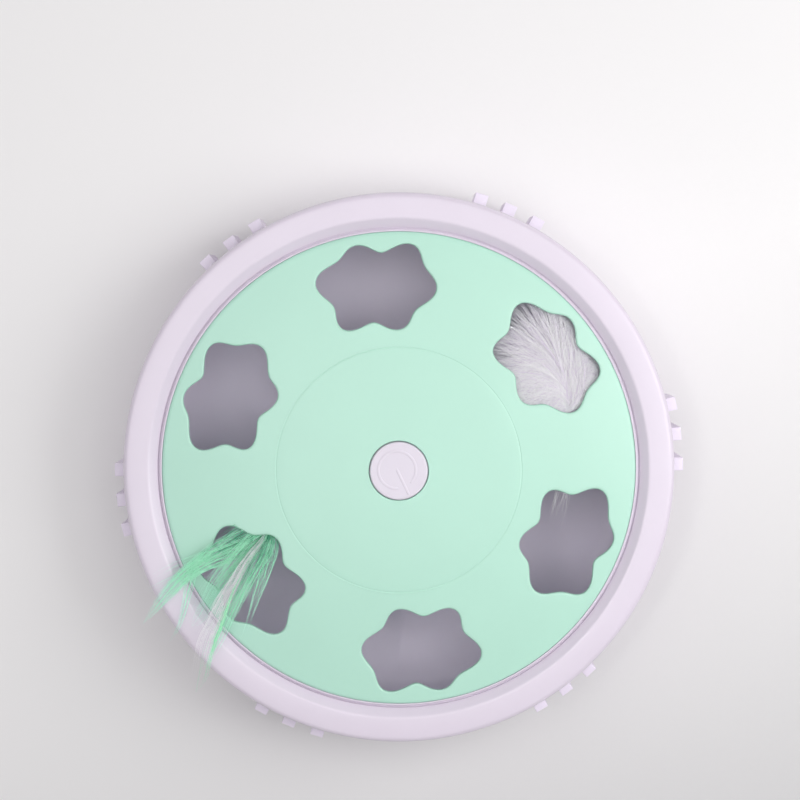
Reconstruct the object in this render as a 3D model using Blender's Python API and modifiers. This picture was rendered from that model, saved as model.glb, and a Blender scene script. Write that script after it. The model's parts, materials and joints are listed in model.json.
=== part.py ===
"""Electric feather cat toy: a flat round housing that lies face up on four rubber feet.

A motor under the middle turns a turntable that carries two plumes. They slide along below
the domed cover and pop out of its six star-shaped holes. Metres, +Z up, the floor at z = 0,
the turntable's axis on the Z axis, and one group of grip ribs on +X.
"""

import math

import bmesh
import bpy
from mathutils import Matrix, Vector

# Numbers that hold for the whole toy.
HOLE_COUNT = 6
HOLE_STEP = 2 * math.pi / HOLE_COUNT
HOLE_START = HOLE_STEP / 2
GAP = 0.0003
OVERRUN = 0.004
SEGMENTS = 48
INNER_SEGMENTS = 28
FEW_SEGMENTS = 12
PIN_SEGMENTS = 8
WELD = 0.000001
AXIS_WELD = 0.00001

# Widths of the toy, from the rim inwards. The rim overhangs the wall, and the ribs reach past it.
RIM_OUTER_R = 0.115
RIM_OVERHANG = 0.006
RIB_STAND = 0.0108
EDGE_INSET = 0.0102
WALL_OUTER_R = RIM_OUTER_R - RIM_OVERHANG
WALL_THICKNESS = 0.0024
WALL_INNER_R = WALL_OUTER_R - WALL_THICKNESS
RIB_REACH_R = WALL_OUTER_R + RIB_STAND
COVER_EDGE_R = WALL_OUTER_R - EDGE_INSET
RIM_INNER_GAP = 0.0018
RIM_INNER_R = COVER_EDGE_R + RIM_INNER_GAP
SCREW_OUTSET = 0.0048
CASE_SCREW_R = COVER_EDGE_R + SCREW_OUTSET

# Battery compartment in the base, for three AA cells side by side along X.
FOOT_PROUD = 0.002
FLOOR_THICKNESS = 0.0024
FLOOR_TOP_Z = FOOT_PROUD + FLOOR_THICKNESS
CELL_COUNT = 3
CELL_R = 0.0071
CELL_LENGTH = 0.0493
CELL_NUB = 0.001
CELL_NUB_R = 0.0027
CELL_SPRING_LENGTH = 0.0041
CELL_SPRING_R = 0.0032
CELL_SPRING_TURNS = 3
CELL_SIDE_GAP = 0.001
CELL_PITCH = 2 * CELL_R + CELL_SIDE_GAP
CONTACT_THICKNESS = 0.0004
CONTACT_MARGIN = 0.0012
BOX_WALL = 0.0018
BOX_HALF_X = (CELL_LENGTH + CELL_NUB + CELL_SPRING_LENGTH + 5 * GAP) / 2 + CONTACT_THICKNESS
BOX_HALF_Y = CELL_COUNT * CELL_PITCH / 2 + GAP
DOOR_THICKNESS = 0.002
DOOR_LEDGE_X = 0.0045
DOOR_LEDGE_Y = 0.0019
DOOR_HALF_X = BOX_HALF_X + DOOR_LEDGE_X
DOOR_HALF_Y = BOX_HALF_Y + DOOR_LEDGE_Y
DOOR_TAB_REACH = 0.002
DOOR_TAB_THICKNESS = 0.001
DOOR_TAB_WIDTH = 0.008
DOOR_TAB_INSET = 0.01
DOOR_TAB_Y = DOOR_HALF_Y - DOOR_TAB_INSET
DOOR_GRIP_R = 0.005
DOOR_GRIP_DEPTH = 0.0011
NOTCH_LENGTH = 0.008
NOTCH_HALF_Y = 0.008
NOTCH_DEPTH = 0.0025
SURROUND_PAST_TAB = 0.0022
SURROUND_END = DOOR_TAB_REACH + SURROUND_PAST_TAB
SURROUND_SIDE = 0.0026
SURROUND_HEIGHT = 0.0021
SURROUND_TOP_Z = FLOOR_TOP_Z + SURROUND_HEIGHT
CELL_Z = FOOT_PROUD + DOOR_THICKNESS + GAP + CELL_R
BOX_ROOF_Z = CELL_Z + CELL_R + GAP
SPRING_WIRE_R = 0.00035
SPRING_POINTS_PER_TURN = 6

# Motor beside the battery box, hanging below the gear plate.
MOTOR_R = 0.01005
MOTOR_HALF_FLAT = 0.00755
MOTOR_LENGTH = 0.0252
MOTOR_FLOOR_GAP = 0.0015
MOTOR_SIDE_GAP = 0.00035
MOTOR_Y = DOOR_HALF_Y + SURROUND_SIDE + MOTOR_SIDE_GAP + MOTOR_HALF_FLAT
MOTOR_AT = (0, MOTOR_Y)
MOTOR_BOSS_R = 0.003
MOTOR_BOSS = 0.0016
MOTOR_BORE_DEPTH = 0.0045
MOTOR_SCREW_OFFSET = 0.0064
MOTOR_SCREW_SHANK_R = 0.0008
MOTOR_SCREW_HEAD_R = 0.0016
MOTOR_SCREW_HEAD = 0.0009
MOTOR_SCREW_DEPTH = 0.0016

# Gears, all parallel to Z, from the motor up to the turntable.
MODULE_SHARE = 0.0169
MODULE = MOTOR_Y * MODULE_SHARE
TOOTH_ADDENDUM_SHARE = 0.85
TOOTH_DEDENDUM_SHARE = 1.25
TOOTH_PLAY = 0.00025
PRESSURE_ANGLE = math.radians(20)
PINION_TEETH = 10
WHEEL_TEETH = 40
TURNTABLE_TEETH = 50
GEAR_FACE = 0.0026
GEAR_LEVEL_GAP = 0.0004
PINION_R = PINION_TEETH * MODULE / 2
WHEEL_R = WHEEL_TEETH * MODULE / 2
TURNTABLE_GEAR_R = TURNTABLE_TEETH * MODULE / 2
WHEEL_CENTRES = PINION_R + WHEEL_R
TABLE_CENTRES = PINION_R + TURNTABLE_GEAR_R
DRIVE_GEAR_TURN = math.radians(50)
AXLE_R = 0.001
AXLE_SINK = 0.0009
HUB_R = 0.0019
PLATE_THICKNESS = 0.0018
PLATE_Z = FLOOR_TOP_Z + MOTOR_FLOOR_GAP + MOTOR_LENGTH + GAP
PLATE_TOP_Z = PLATE_Z + PLATE_THICKNESS
LEVEL_ONE_Z = PLATE_TOP_Z + 2 * GEAR_LEVEL_GAP
LEVEL_TWO_Z = LEVEL_ONE_Z + GEAR_FACE + GEAR_LEVEL_GAP
LEVEL_THREE_Z = LEVEL_TWO_Z + GEAR_FACE + GEAR_LEVEL_GAP
LID_Z = LEVEL_THREE_Z + GEAR_FACE + 2 * GEAR_LEVEL_GAP
SHAFT_TOP_Z = LEVEL_TWO_Z + GEAR_FACE

# Drive housing: an upturned pot over battery box, motor and gears.
HOUSING_WALL = 0.002
HOUSING_ROOM = 0.0018
HOUSING_R = math.hypot(MOTOR_R, MOTOR_Y + MOTOR_HALF_FLAT) + HOUSING_ROOM + HOUSING_WALL
LID_THICKNESS = 0.0018
HOUSING_TOP_Z = LID_Z + LID_THICKNESS
HOUSING_EDGE_ROUND = 0.002
HOUSING_SCREW_INSET = 0.0051
HOUSING_SCREW_CIRCLE_R = HOUSING_R - HOUSING_SCREW_INSET
HOUSING_SCREW_DEGREES = (50, 130, 270)
HOUSING_BOSS_R = 0.0034
HOUSING_SCREW_LENGTH = 0.010
HOUSING_BOSS_OVER_SCREW = 0.008
HOUSING_BOSS_TOP_Z = FOOT_PROUD + HOUSING_SCREW_LENGTH + HOUSING_BOSS_OVER_SCREW
HOUSING_SCREW_SHANK_R = 0.0012
SCREW_HEAD_R = 0.0025
SCREW_HEAD = 0.0018
PAD_R = 0.0044
PLATE_EDGE_GAP = 0.0005
PLATE_R = HOUSING_R - HOUSING_WALL - PLATE_EDGE_GAP
GEARBOX_SCREW_INSET = 0.008
GEARBOX_SCREW_CIRCLE_R = HOUSING_R - GEARBOX_SCREW_INSET
GEARBOX_SCREW_COUNT = 3
GEARBOX_BOSS_R = 0.003
GEARBOX_SCREW_SHANK_R = 0.001
GEARBOX_SCREW_HEAD_R = 0.002
GEARBOX_SCREW_HEAD = 0.0016
GEARBOX_SCREW_GRIP = 0.0067
PILOT_CLEARANCE = GAP
PILOT_ROOM = 0.0015

# Turntable with two sockets for the feather plugs.
TABLE_INSET = 0.002
TABLE_R = HOUSING_R - TABLE_INSET
TABLE_THICKNESS = 0.002
TABLE_Z = HOUSING_TOP_Z + GAP
TABLE_TOP_Z = TABLE_Z + TABLE_THICKNESS
TABLE_NECK_SHARE = 0.95
ARM_TURN = math.radians(12)
ARM_COUNT = 2
SOCKET_R = 0.0034
SOCKET_BORE_R = 0.002
SOCKET_INSET = 0.012
SOCKET_OUTSET = 0.004
SOCKET_START_R = TABLE_R - SOCKET_INSET
SOCKET_END_R = TABLE_R + SOCKET_OUTSET
SOCKET_SINK = 0.0002
SOCKET_Z = TABLE_TOP_Z + SOCKET_R - SOCKET_SINK
SOCKET_WEB = 0.003
SOCKET_DEPTH_SHARE = 0.8
PLUG_COLLAR = 0.0027
PLUG_NOSE = 0.003
PLUG_NOSE_R = 0.0024
PLUG_BORE_R = 0.0015
PLUG_BORE_DEPTH = 0.004
PLUG_TIP_SHARE = 0.85
PLUG_COLLAR_SHARE = 0.88
PLUG_TIP_R = SOCKET_END_R + GAP + PLUG_COLLAR + PLUG_NOSE

# Hollow column of the gear plate, on which the turntable runs.
COLUMN_SHARE = 0.307
COLUMN_R = TURNTABLE_GEAR_R * COLUMN_SHARE
COLUMN_WALL = 0.0018
COLUMN_BORE_R = COLUMN_R - COLUMN_WALL
COLUMN_RISE = 0.0017
COLUMN_TOP_Z = TABLE_TOP_Z + COLUMN_RISE
CLIP_GROOVE_DEPTH = 0.0007
CLIP_THICKNESS = 0.0007
CLIP_WIDTH = 0.0026
CLIP_R = COLUMN_R + CLIP_WIDTH
CLIP_LIFT = 0.0003
CLIP_MOUTH_SHARE = 0.8

# Circuit board and switch under the button.
BOARD_HALF_X = 0.022
BOARD_HALF_Y = 0.013
BOARD_THICKNESS = 0.0016
BOARD_LIFT = 0.0004
BOARD_Z = COLUMN_TOP_Z + BOARD_LIFT
BOARD_TOP_Z = BOARD_Z + BOARD_THICKNESS
BOARD_SCREW_INSET = 0.0035
BOARD_SCREW_X = BOARD_HALF_X - BOARD_SCREW_INSET
BOARD_BOSS_R = 0.0028
BOARD_SCREW_SHANK_R = 0.0008
BOARD_SCREW_HEAD_R = 0.0018
BOARD_SCREW_HEAD = 0.0011
BOARD_SCREW_GRIP = 0.0035
SWITCH_HALF = 0.004
SWITCH_HEIGHT = 0.0035
PLUNGER_R = 0.0016
PLUNGER_LENGTH = 0.0024
PLUNGER_SHOWN = 0.0011
PLUNGER_TOP_Z = BOARD_TOP_Z + GAP + SWITCH_HEIGHT + PLUNGER_SHOWN

# Domed cover with the star holes, its top over the switch by the button's own height.
COVER_OVER_SWITCH = 0.0036
COVER_THICKNESS = 0.0022
COVER_ROLL = 0.002
DOME_TOP_Z = PLUNGER_TOP_Z + COVER_OVER_SWITCH
DOME_RISE = 0.0084
DOME_R = COVER_EDGE_R - COVER_ROLL
DOME_SPHERE_R = (DOME_R**2 + DOME_RISE**2) / (2 * DOME_RISE)
DISC_SHARE = 0.516
DISC_R = COVER_EDGE_R * DISC_SHARE
GROOVE_HALF_WIDTH = 0.0003
GROOVE_DEPTH = 0.0002
HOLE_PLACE_SHARE = 0.773
HOLE_SIZE_SHARE = 0.261
HOLE_CENTRE_R = COVER_EDGE_R * HOLE_PLACE_SHARE
HOLE_MEAN_R = HOLE_CENTRE_R * HOLE_SIZE_SHARE
# Waves laid on the hole's mean circle: lobes, height as a share of its radius, turn in degrees.
HOLE_WAVE_SHARES = (
    (2, 0.174, 177.7),
    (3, 0.0285, 172.3),
    (4, 0.0329, 136.3),
    (5, 0.019, -3.6),
    (6, 0.1015, 108.7),
    (8, 0.0229, -60.8),
)
HOLE_POINTS = 36
FLANGE_THICKNESS = 0.0016
FLANGE_R = WALL_INNER_R - 2 * GAP

# Base shell: a bowl with a rounded lower corner and an inner ledge for the cover.
SKIRT_DROP = 0.007
LEDGE_TOP_Z = DOME_TOP_Z - DOME_RISE - SKIRT_DROP
LEDGE_WIDTH = 0.0034
LEDGE_HEIGHT = 0.0014
WALL_ABOVE_LEDGE = 0.006
CORNER_RADIUS = 0.014

# Rim ring: an inverted channel over the wall and the cover's flange.
RIM_RISE = 0.0017
RIM_TOP_Z = DOME_TOP_Z - DOME_RISE + RIM_RISE
RIM_HEIGHT = 0.0115
RIM_WALL = 0.0022
RIM_ROUND = 0.0026
RIM_BEVEL_WIDTH = 0.0036
RIM_BEVEL_DROP = 0.0028
# A narrow lip stands between the foot of the bevel and the cover, behind a crease.
RIM_LIP_WIDTH = 0.0009
RIM_LIP_RISE = 0.0002
RIM_CREASE_DEPTH = 0.001

# Grip ribs: six groups of three on the base's wall, between the holes.
RIB_WIDTH = 0.0055
RIB_PITCH = math.radians(6.2)
RIBS_IN_GROUP = 3
RIB_BOTTOM_Z = 0.010
RIB_ROOT_SHARE = 0.12

# Screws that clamp cover and rim to the base, in deep wells open from below.
CASE_SCREW_SHANK_R = 0.0011
CASE_SCREW_HEAD_R = 0.0025
CASE_SCREW_HEAD = 0.0022
CASE_WELL_WALL = 0.0014
CASE_WELL_ROOF = 0.0024
CASE_BOSS_R = 0.0027
CASE_SCREW_GRIP = 0.003

# Rubber feet.
FOOT_COUNT = 4
FOOT_INSET = 0.025
FOOT_CIRCLE_R = WALL_OUTER_R - FOOT_INSET
FOOT_R = 0.007
FOOT_SINK = 0.0008
FOOT_CHAMFER = 0.0006

# Push button in the middle of the cover.
BUTTON_R = 0.012
BUTTON_GAP = 0.00035
BUTTON_PROUD = 0.0008
BUTTON_WALL = 0.0015
BUTTON_CAP = 0.0022
BUTTON_ROUND = 0.0007
BUTTON_FLANGE = 0.002
BUTTON_FLANGE_THICKNESS = 0.0012
BUTTON_STEM_R = 0.0022
# The return spring stands round the switch, so its radius is a share of the switch's half width.
BUTTON_SPRING_SHARE = 1.798875
BUTTON_SPRING_R = SWITCH_HALF * BUTTON_SPRING_SHARE
BUTTON_SPRING_TURNS = 4

# Leads from the battery box and the motor, up the column to the board.
LEAD_R = 0.0009
LEAD_OFFSET = 0.0013
# Places along a lead's run, as shares of the box's half length or the motor's length.
LEAD_START_SHARE = 0.8
LEAD_RISE_SHARE = 0.4
LEAD_END_SHARE = 0.2

# Feathers: flattened plumes gripped in a plug by their quills.
QUILL_SPREAD = 0.0006
QUILL_STRAIGHT = 0.0013
PLUME_HALF_WIDTH = 0.0030
DOWN_HALF_WIDTH = 0.0062
PLUME_FLAT_SHARE = 0.3
DOWN_FLAT_SHARE = 0.5
# Half-widths from the root of a feather to its tip, as shares of the widest.
PLUME_WIDTH_SHARES = (0.12, 0.12, 0.13, 0.2, 0.7, 1.0, 0.8, 0.12)
# Routes of the feathers in their arm's frame. Outwards in shares of the way from the plug's tip
# to the hole's middle circle, sideways in shares of that circle's radius, and up in shares of
# the height of the dome's top over the plugs.
LEFT_PLUME_SHARES = ((0.449, 0.135, 0.37), (0.831, 0.127, 0.74), (1.560, 0.135, 0.79),
                     (2.40, 0.205, 0.66), (3.14, 0.329, 0.44))
MIDDLE_PLUME_SHARES = ((0.285, 0.178, 0.48), (0.638, 0.195, 0.76), (1.407, 0.262, 0.81),
                       (1.957, 0.384, 0.68), (2.267, 0.457, 0.56))
LONG_PLUME_SHARES = ((0.208, 0.213, 0.48), (0.483, 0.266, 0.88), (1.0, 0.370, 0.90),
                     (1.70, 0.552, 0.79), (2.267, 0.681, 0.62))
PALE_PLUME_SHARES = ((0.314, 0.151, 0.44), (0.532, 0.186, 0.99), (1.025, 0.270, 1.32),
                     (1.75, 0.461, 1.26), (2.586, 0.783, 0.84))
DOWN_PLUME_SHARES = ((0.42, 0.008, -0.34), (0.783, 0.052, -0.56), (0.976, 0.169, -0.65),
                     (0.976, 0.325, -0.67), (0.807, 0.494, -0.62))

LILAC = (0.71, 0.62, 0.76)
LILAC_INNER = (0.66, 0.60, 0.73)
MINT = (0.46, 0.82, 0.66)
PARTS = "feather_cat_toy"
CUTTERS = "feather_cat_toy_cutters"


def clear_scene():
    """Empties the scene and makes the two collections."""
    for item in list(bpy.data.objects):
        bpy.data.objects.remove(item, do_unlink=True)
    for name in (PARTS, CUTTERS):
        bpy.context.scene.collection.children.link(bpy.data.collections.new(name))
    bpy.data.collections[CUTTERS].hide_render = True


def finish(name, colour, roughness, metallic=0.0):
    """A plain material with one colour."""
    made = bpy.data.materials.new(name)
    made.use_nodes = True
    shader = made.node_tree.nodes["Principled BSDF"]
    shader.inputs["Base Color"].default_value = (*colour, 1)
    shader.inputs["Roughness"].default_value = roughness
    shader.inputs["Metallic"].default_value = metallic
    made.diffuse_color = (*colour, 1)
    return made


def place(name, mesh, surface=None):
    """Puts a mesh in the scene: a part if it has a surface, or else a cutter."""
    item = bpy.data.objects.new(name, mesh)
    if surface is None:
        bpy.data.collections[CUTTERS].objects.link(item)
        item.hide_render = True
        item.display_type = "WIRE"
        return item
    bpy.data.collections[PARTS].objects.link(item)
    mesh.materials.clear()
    mesh.materials.append(surface)
    return item


def smooth(mesh):
    mesh.shade_smooth()
    mesh.set_sharp_from_angle(angle=math.radians(35))


def mesh_from(maker, name):
    """A mesh filled by maker(bm), with its faces pointing out."""
    bm = bmesh.new()
    maker(bm)
    bmesh.ops.recalc_face_normals(bm, faces=bm.faces)
    mesh = bpy.data.meshes.new(name)
    bm.to_mesh(mesh)
    bm.free()
    return mesh


def evaluated_mesh(item, name):
    """The item's shape with its modifiers applied and its caps welded; the item is removed."""
    graph = bpy.context.evaluated_depsgraph_get()
    mesh = bpy.data.meshes.new_from_object(item.evaluated_get(graph))
    mesh.transform(item.matrix_world)
    mesh.name = name
    bpy.data.objects.remove(item, do_unlink=True)
    bm = bmesh.new()
    bm.from_mesh(mesh)
    bmesh.ops.remove_doubles(bm, verts=bm.verts, dist=WELD)
    bmesh.ops.dissolve_degenerate(bm, edges=bm.edges, dist=WELD / 10)
    bmesh.ops.recalc_face_normals(bm, faces=bm.faces)
    bm.to_mesh(mesh)
    bm.free()
    return mesh


def turned_mesh(name, profile, steps=SEGMENTS, frame=None):
    """Turns a profile of (radius, height) round the Z axis, then moves it by frame.

    The profile starts at the top and runs down the outer side. It is closed unless it
    starts on the axis.
    """
    mesh = bpy.data.meshes.new(name)
    last = len(profile) - 1
    edges = [(i, i + 1) for i in range(last)]
    if profile[0][0] > 0:
        edges.append((last, 0))
    mesh.from_pydata([(r, 0, z) for r, z in profile], edges, [])
    item = bpy.data.objects.new(name, mesh)
    bpy.context.scene.collection.objects.link(item)
    screw = item.modifiers.new("turn", "SCREW")
    screw.steps = steps
    screw.render_steps = steps
    screw.use_merge_vertices = True
    screw.merge_threshold = AXIS_WELD
    bpy.context.view_layer.update()
    made = evaluated_mesh(item, name)
    if frame is not None:
        made.transform(frame)
    smooth(made)
    return made


def drum(name, radius, low, high, at=(0, 0), steps=FEW_SEGMENTS):
    """A cylinder standing at a place between two heights."""
    def maker(bm):
        middle = Matrix.Translation((at[0], at[1], (low + high) / 2))
        bmesh.ops.create_cone(bm, cap_ends=True, segments=steps, radius1=radius, radius2=radius,
                              depth=high - low, matrix=middle)
    mesh = mesh_from(maker, name)
    smooth(mesh)
    return mesh


def block(name, low, high):
    """A box between two corners."""
    low = Vector(low)
    high = Vector(high)
    def maker(bm):
        size = Matrix.Diagonal((*(high - low), 1))
        bmesh.ops.create_cube(bm, size=1, matrix=Matrix.Translation((low + high) / 2) @ size)
    return mesh_from(maker, name)


def prism(name, outline, low, high):
    """A flat outline in the XY plane carried from one height to another."""
    curve = bpy.data.curves.new(name, "CURVE")
    curve.dimensions = "2D"
    curve.fill_mode = "BOTH"
    curve.extrude = (high - low) / 2
    spline = curve.splines.new("POLY")
    spline.points.add(len(outline) - 1)
    for point, (x, y) in zip(spline.points, outline):
        point.co = (x, y, 0, 1)
    spline.use_cyclic_u = True
    item = bpy.data.objects.new(name, curve)
    item.location.z = (low + high) / 2
    bpy.context.scene.collection.objects.link(item)
    bpy.context.view_layer.update()
    return evaluated_mesh(item, name)


def tube(name, points, radius, sides_level=1, radii=None, section=None):
    """A tube along points, round or with its own section, with filled caps."""
    curve = bpy.data.curves.new(name, "CURVE")
    curve.dimensions = "3D"
    curve.use_fill_caps = True
    curve.bevel_resolution = sides_level
    if section is None:
        curve.bevel_depth = radius
    else:
        curve.bevel_mode = "OBJECT"
        curve.bevel_object = section
        curve.twist_mode = "Z_UP"
    spline = curve.splines.new("POLY")
    spline.points.add(len(points) - 1)
    for i, (point, co) in enumerate(zip(spline.points, points)):
        point.co = (*co, 1)
        point.radius = 1 if radii is None else radii[i]
    item = bpy.data.objects.new(name, curve)
    bpy.context.scene.collection.objects.link(item)
    bpy.context.view_layer.update()
    mesh = evaluated_mesh(item, name)
    smooth(mesh)
    return mesh


def together(name, meshes):
    """Meshes that don't touch, joined into one."""
    bm = bmesh.new()
    for mesh in meshes:
        bm.from_mesh(mesh)
    made = bpy.data.meshes.new(name)
    bm.to_mesh(made)
    bm.free()
    for mesh in meshes:
        bpy.data.meshes.remove(mesh)
    return made


def combine(item, mesh, operation):
    """Adds a Boolean that joins a mesh to the item or cuts it away; returns the operand."""
    modifier = item.modifiers.new(mesh.name, "BOOLEAN")
    modifier.object = place(f"{item.name}_{mesh.name}", mesh)
    modifier.operation = operation
    modifier.solver = "EXACT"
    return modifier.object


def join(item, mesh):
    return combine(item, mesh, "UNION")


def cut(item, mesh):
    return combine(item, mesh, "DIFFERENCE")


def around(count, radius, start=0.0):
    """Places evenly spaced on a circle."""
    step = 2 * math.pi / count
    return [polar(radius, start + i * step) for i in range(count)]


def polar(radius, turn):
    return (radius * math.cos(turn), radius * math.sin(turn))


def arc(centre, radius, start, end, steps):
    """Points of an arc in a plane, between two angles in degrees."""
    turns = [math.radians(start + (end - start) * i / steps) for i in range(steps + 1)]
    return [(centre[0] + radius * math.cos(t), centre[1] + radius * math.sin(t)) for t in turns]


def dome_z(radius):
    """Height of the cover's top surface over the dome's sphere."""
    return DOME_TOP_Z - radius**2 / (2 * DOME_SPHERE_R)


def star(centre_r, turn):
    """Outline of one star hole: a circle with waves on it, its angles counted from outwards."""
    middle = Vector(polar(centre_r, turn))
    outline = []
    for i in range(HOLE_POINTS):
        angle = 2 * math.pi * i / HOLE_POINTS
        reach = HOLE_MEAN_R
        for lobes, height, phase in HOLE_WAVE_SHARES:
            reach += HOLE_MEAN_R * height * math.cos(lobes * angle - math.radians(phase))
        outline.append(middle + Vector(polar(reach, turn + angle)))
    return outline


def tooth_half_angle(teeth, radius):
    """Half the angle that an involute tooth takes up at a radius."""
    pitch_r = teeth * MODULE / 2
    base_r = pitch_r * math.cos(PRESSURE_ANGLE)
    def involute(r):
        slope = math.acos(min(1, base_r / r))
        return math.tan(slope) - slope
    thickness = math.pi * MODULE / 2 - TOOTH_PLAY
    return thickness / 2 / pitch_r + involute(pitch_r) - involute(max(radius, base_r))


def gear_outline(teeth, turn, at=(0, 0)):
    """Outline of a spur gear with straight-flanked teeth, one of them at angle turn."""
    pitch_r = teeth * MODULE / 2
    tip_r = pitch_r + TOOTH_ADDENDUM_SHARE * MODULE
    root_r = pitch_r - TOOTH_DEDENDUM_SHARE * MODULE
    outline = []
    for i in range(teeth):
        middle = turn + 2 * math.pi * i / teeth
        for radius, side in ((root_r, -1), (tip_r, -1), (tip_r, 1), (root_r, 1)):
            x, y = polar(radius, middle + side * tooth_half_angle(teeth, radius))
            outline.append((at[0] + x, at[1] + y))
    return outline


def meshing_turn(teeth_a, turn_a, at_a, teeth_b, at_b):
    """Turn of gear b that puts one of its gaps where gear a has a tooth."""
    line = math.atan2(at_b[1] - at_a[1], at_b[0] - at_a[0])
    return line + math.pi - (turn_a - line) * teeth_a / teeth_b - math.pi / teeth_b


def drive_gear_place():
    return polar(TABLE_CENTRES, DRIVE_GEAR_TURN)


def idler_gear_place():
    """Where the idler meshes with both the motor's pinion and the drive gear's wheel."""
    motor = Vector(MOTOR_AT)
    gear = Vector(drive_gear_place())
    half = (motor - gear) / 2
    off = math.sqrt(WHEEL_CENTRES**2 - half.length_squared)
    side = Vector((half.y, -half.x)).normalized()
    return tuple(gear + half + off * side)


def hinge_origin(item, point):
    """Moves an item's origin to a point on its joint's axis without moving its shape."""
    item.data.transform(Matrix.Translation(-Vector(point)))
    item.location = point


def screw_mesh(name, at, head_z, head_r, head_height, shank_r, tip_z):
    """A screw pointing up, its head's underside-out face at head_z."""
    seat = head_z + head_height
    profile = [(0, tip_z), (shank_r, tip_z), (shank_r, seat)]
    profile += [(head_r, seat), (head_r, head_z), (0, head_z)]
    return turned_mesh(name, profile, PIN_SEGMENTS, Matrix.Translation((*at, 0)))


def base_profile():
    """Section of the bowl: outer side down to the axis, then back up the inner side."""
    top = LEDGE_TOP_Z + WALL_ABOVE_LEDGE
    centre = (WALL_OUTER_R - CORNER_RADIUS, FOOT_PROUD + CORNER_RADIUS)
    outer = arc(centre, CORNER_RADIUS, 0, -90, 4)
    inner = arc(centre, CORNER_RADIUS - WALL_THICKNESS, -90, 0, 4)
    ledge_r = WALL_INNER_R - LEDGE_WIDTH
    ledge_low = LEDGE_TOP_Z - LEDGE_HEIGHT
    profile = [(WALL_OUTER_R, top), *outer, (0, FOOT_PROUD)]
    profile += [(0, FLOOR_TOP_Z), *inner, (WALL_INNER_R, ledge_low - LEDGE_WIDTH)]
    profile += [(ledge_r, ledge_low), (ledge_r, LEDGE_TOP_Z)]
    profile += [(WALL_INNER_R, LEDGE_TOP_Z), (WALL_INNER_R, top)]
    return profile


def outside_mesh():
    """Ring of empty space round the base's lower corner, just clear of the shell."""
    centre = (WALL_OUTER_R - CORNER_RADIUS, FOOT_PROUD + CORNER_RADIUS)
    far_r = WALL_OUTER_R + CORNER_RADIUS
    corner = arc(centre, CORNER_RADIUS + GAP / 2, -90, 0, 4)
    profile = [(far_r, centre[1]), (far_r, FOOT_PROUD - OVERRUN)]
    profile += [(centre[0], FOOT_PROUD - OVERRUN), *corner]
    return turned_mesh("outside", profile)


def closed_turned_mesh(name, profile):
    """Turns a closed section that touches the axis, starting at its middle break."""
    at = next(i for i, point in enumerate(profile) if point[0] == 0)
    chain = profile[at + 1:] + profile[:at + 1]
    return turned_mesh(name, chain)


def rib_mesh(turn):
    """One grip rib: an upright bar with a round lower end, standing out from the wall."""
    half = RIB_WIDTH / 2
    root_r = WALL_INNER_R + RIB_ROOT_SHARE * WALL_THICKNESS
    top = RIM_TOP_Z - RIM_HEIGHT - GAP
    outline = [(half, top), (-half, top)]
    outline += arc((0, RIB_BOTTOM_Z + half), half, 180, 360, 4)
    mesh = prism("rib", outline, root_r, RIB_REACH_R)
    # The prism's Z becomes the outward direction, and its Y becomes up.
    stand = Matrix(((0, 0, 1, 0), (1, 0, 0, 0), (0, 1, 0, 0), (0, 0, 0, 1)))
    mesh.transform(Matrix.Rotation(turn, 4, "Z") @ stand)
    return mesh


def rib_turns():
    """Angles of all the ribs, three round each middle angle between two holes."""
    middle = (RIBS_IN_GROUP - 1) / 2
    return [group * HOLE_STEP + (i - middle) * RIB_PITCH
            for group in range(HOLE_COUNT) for i in range(RIBS_IN_GROUP)]


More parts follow.
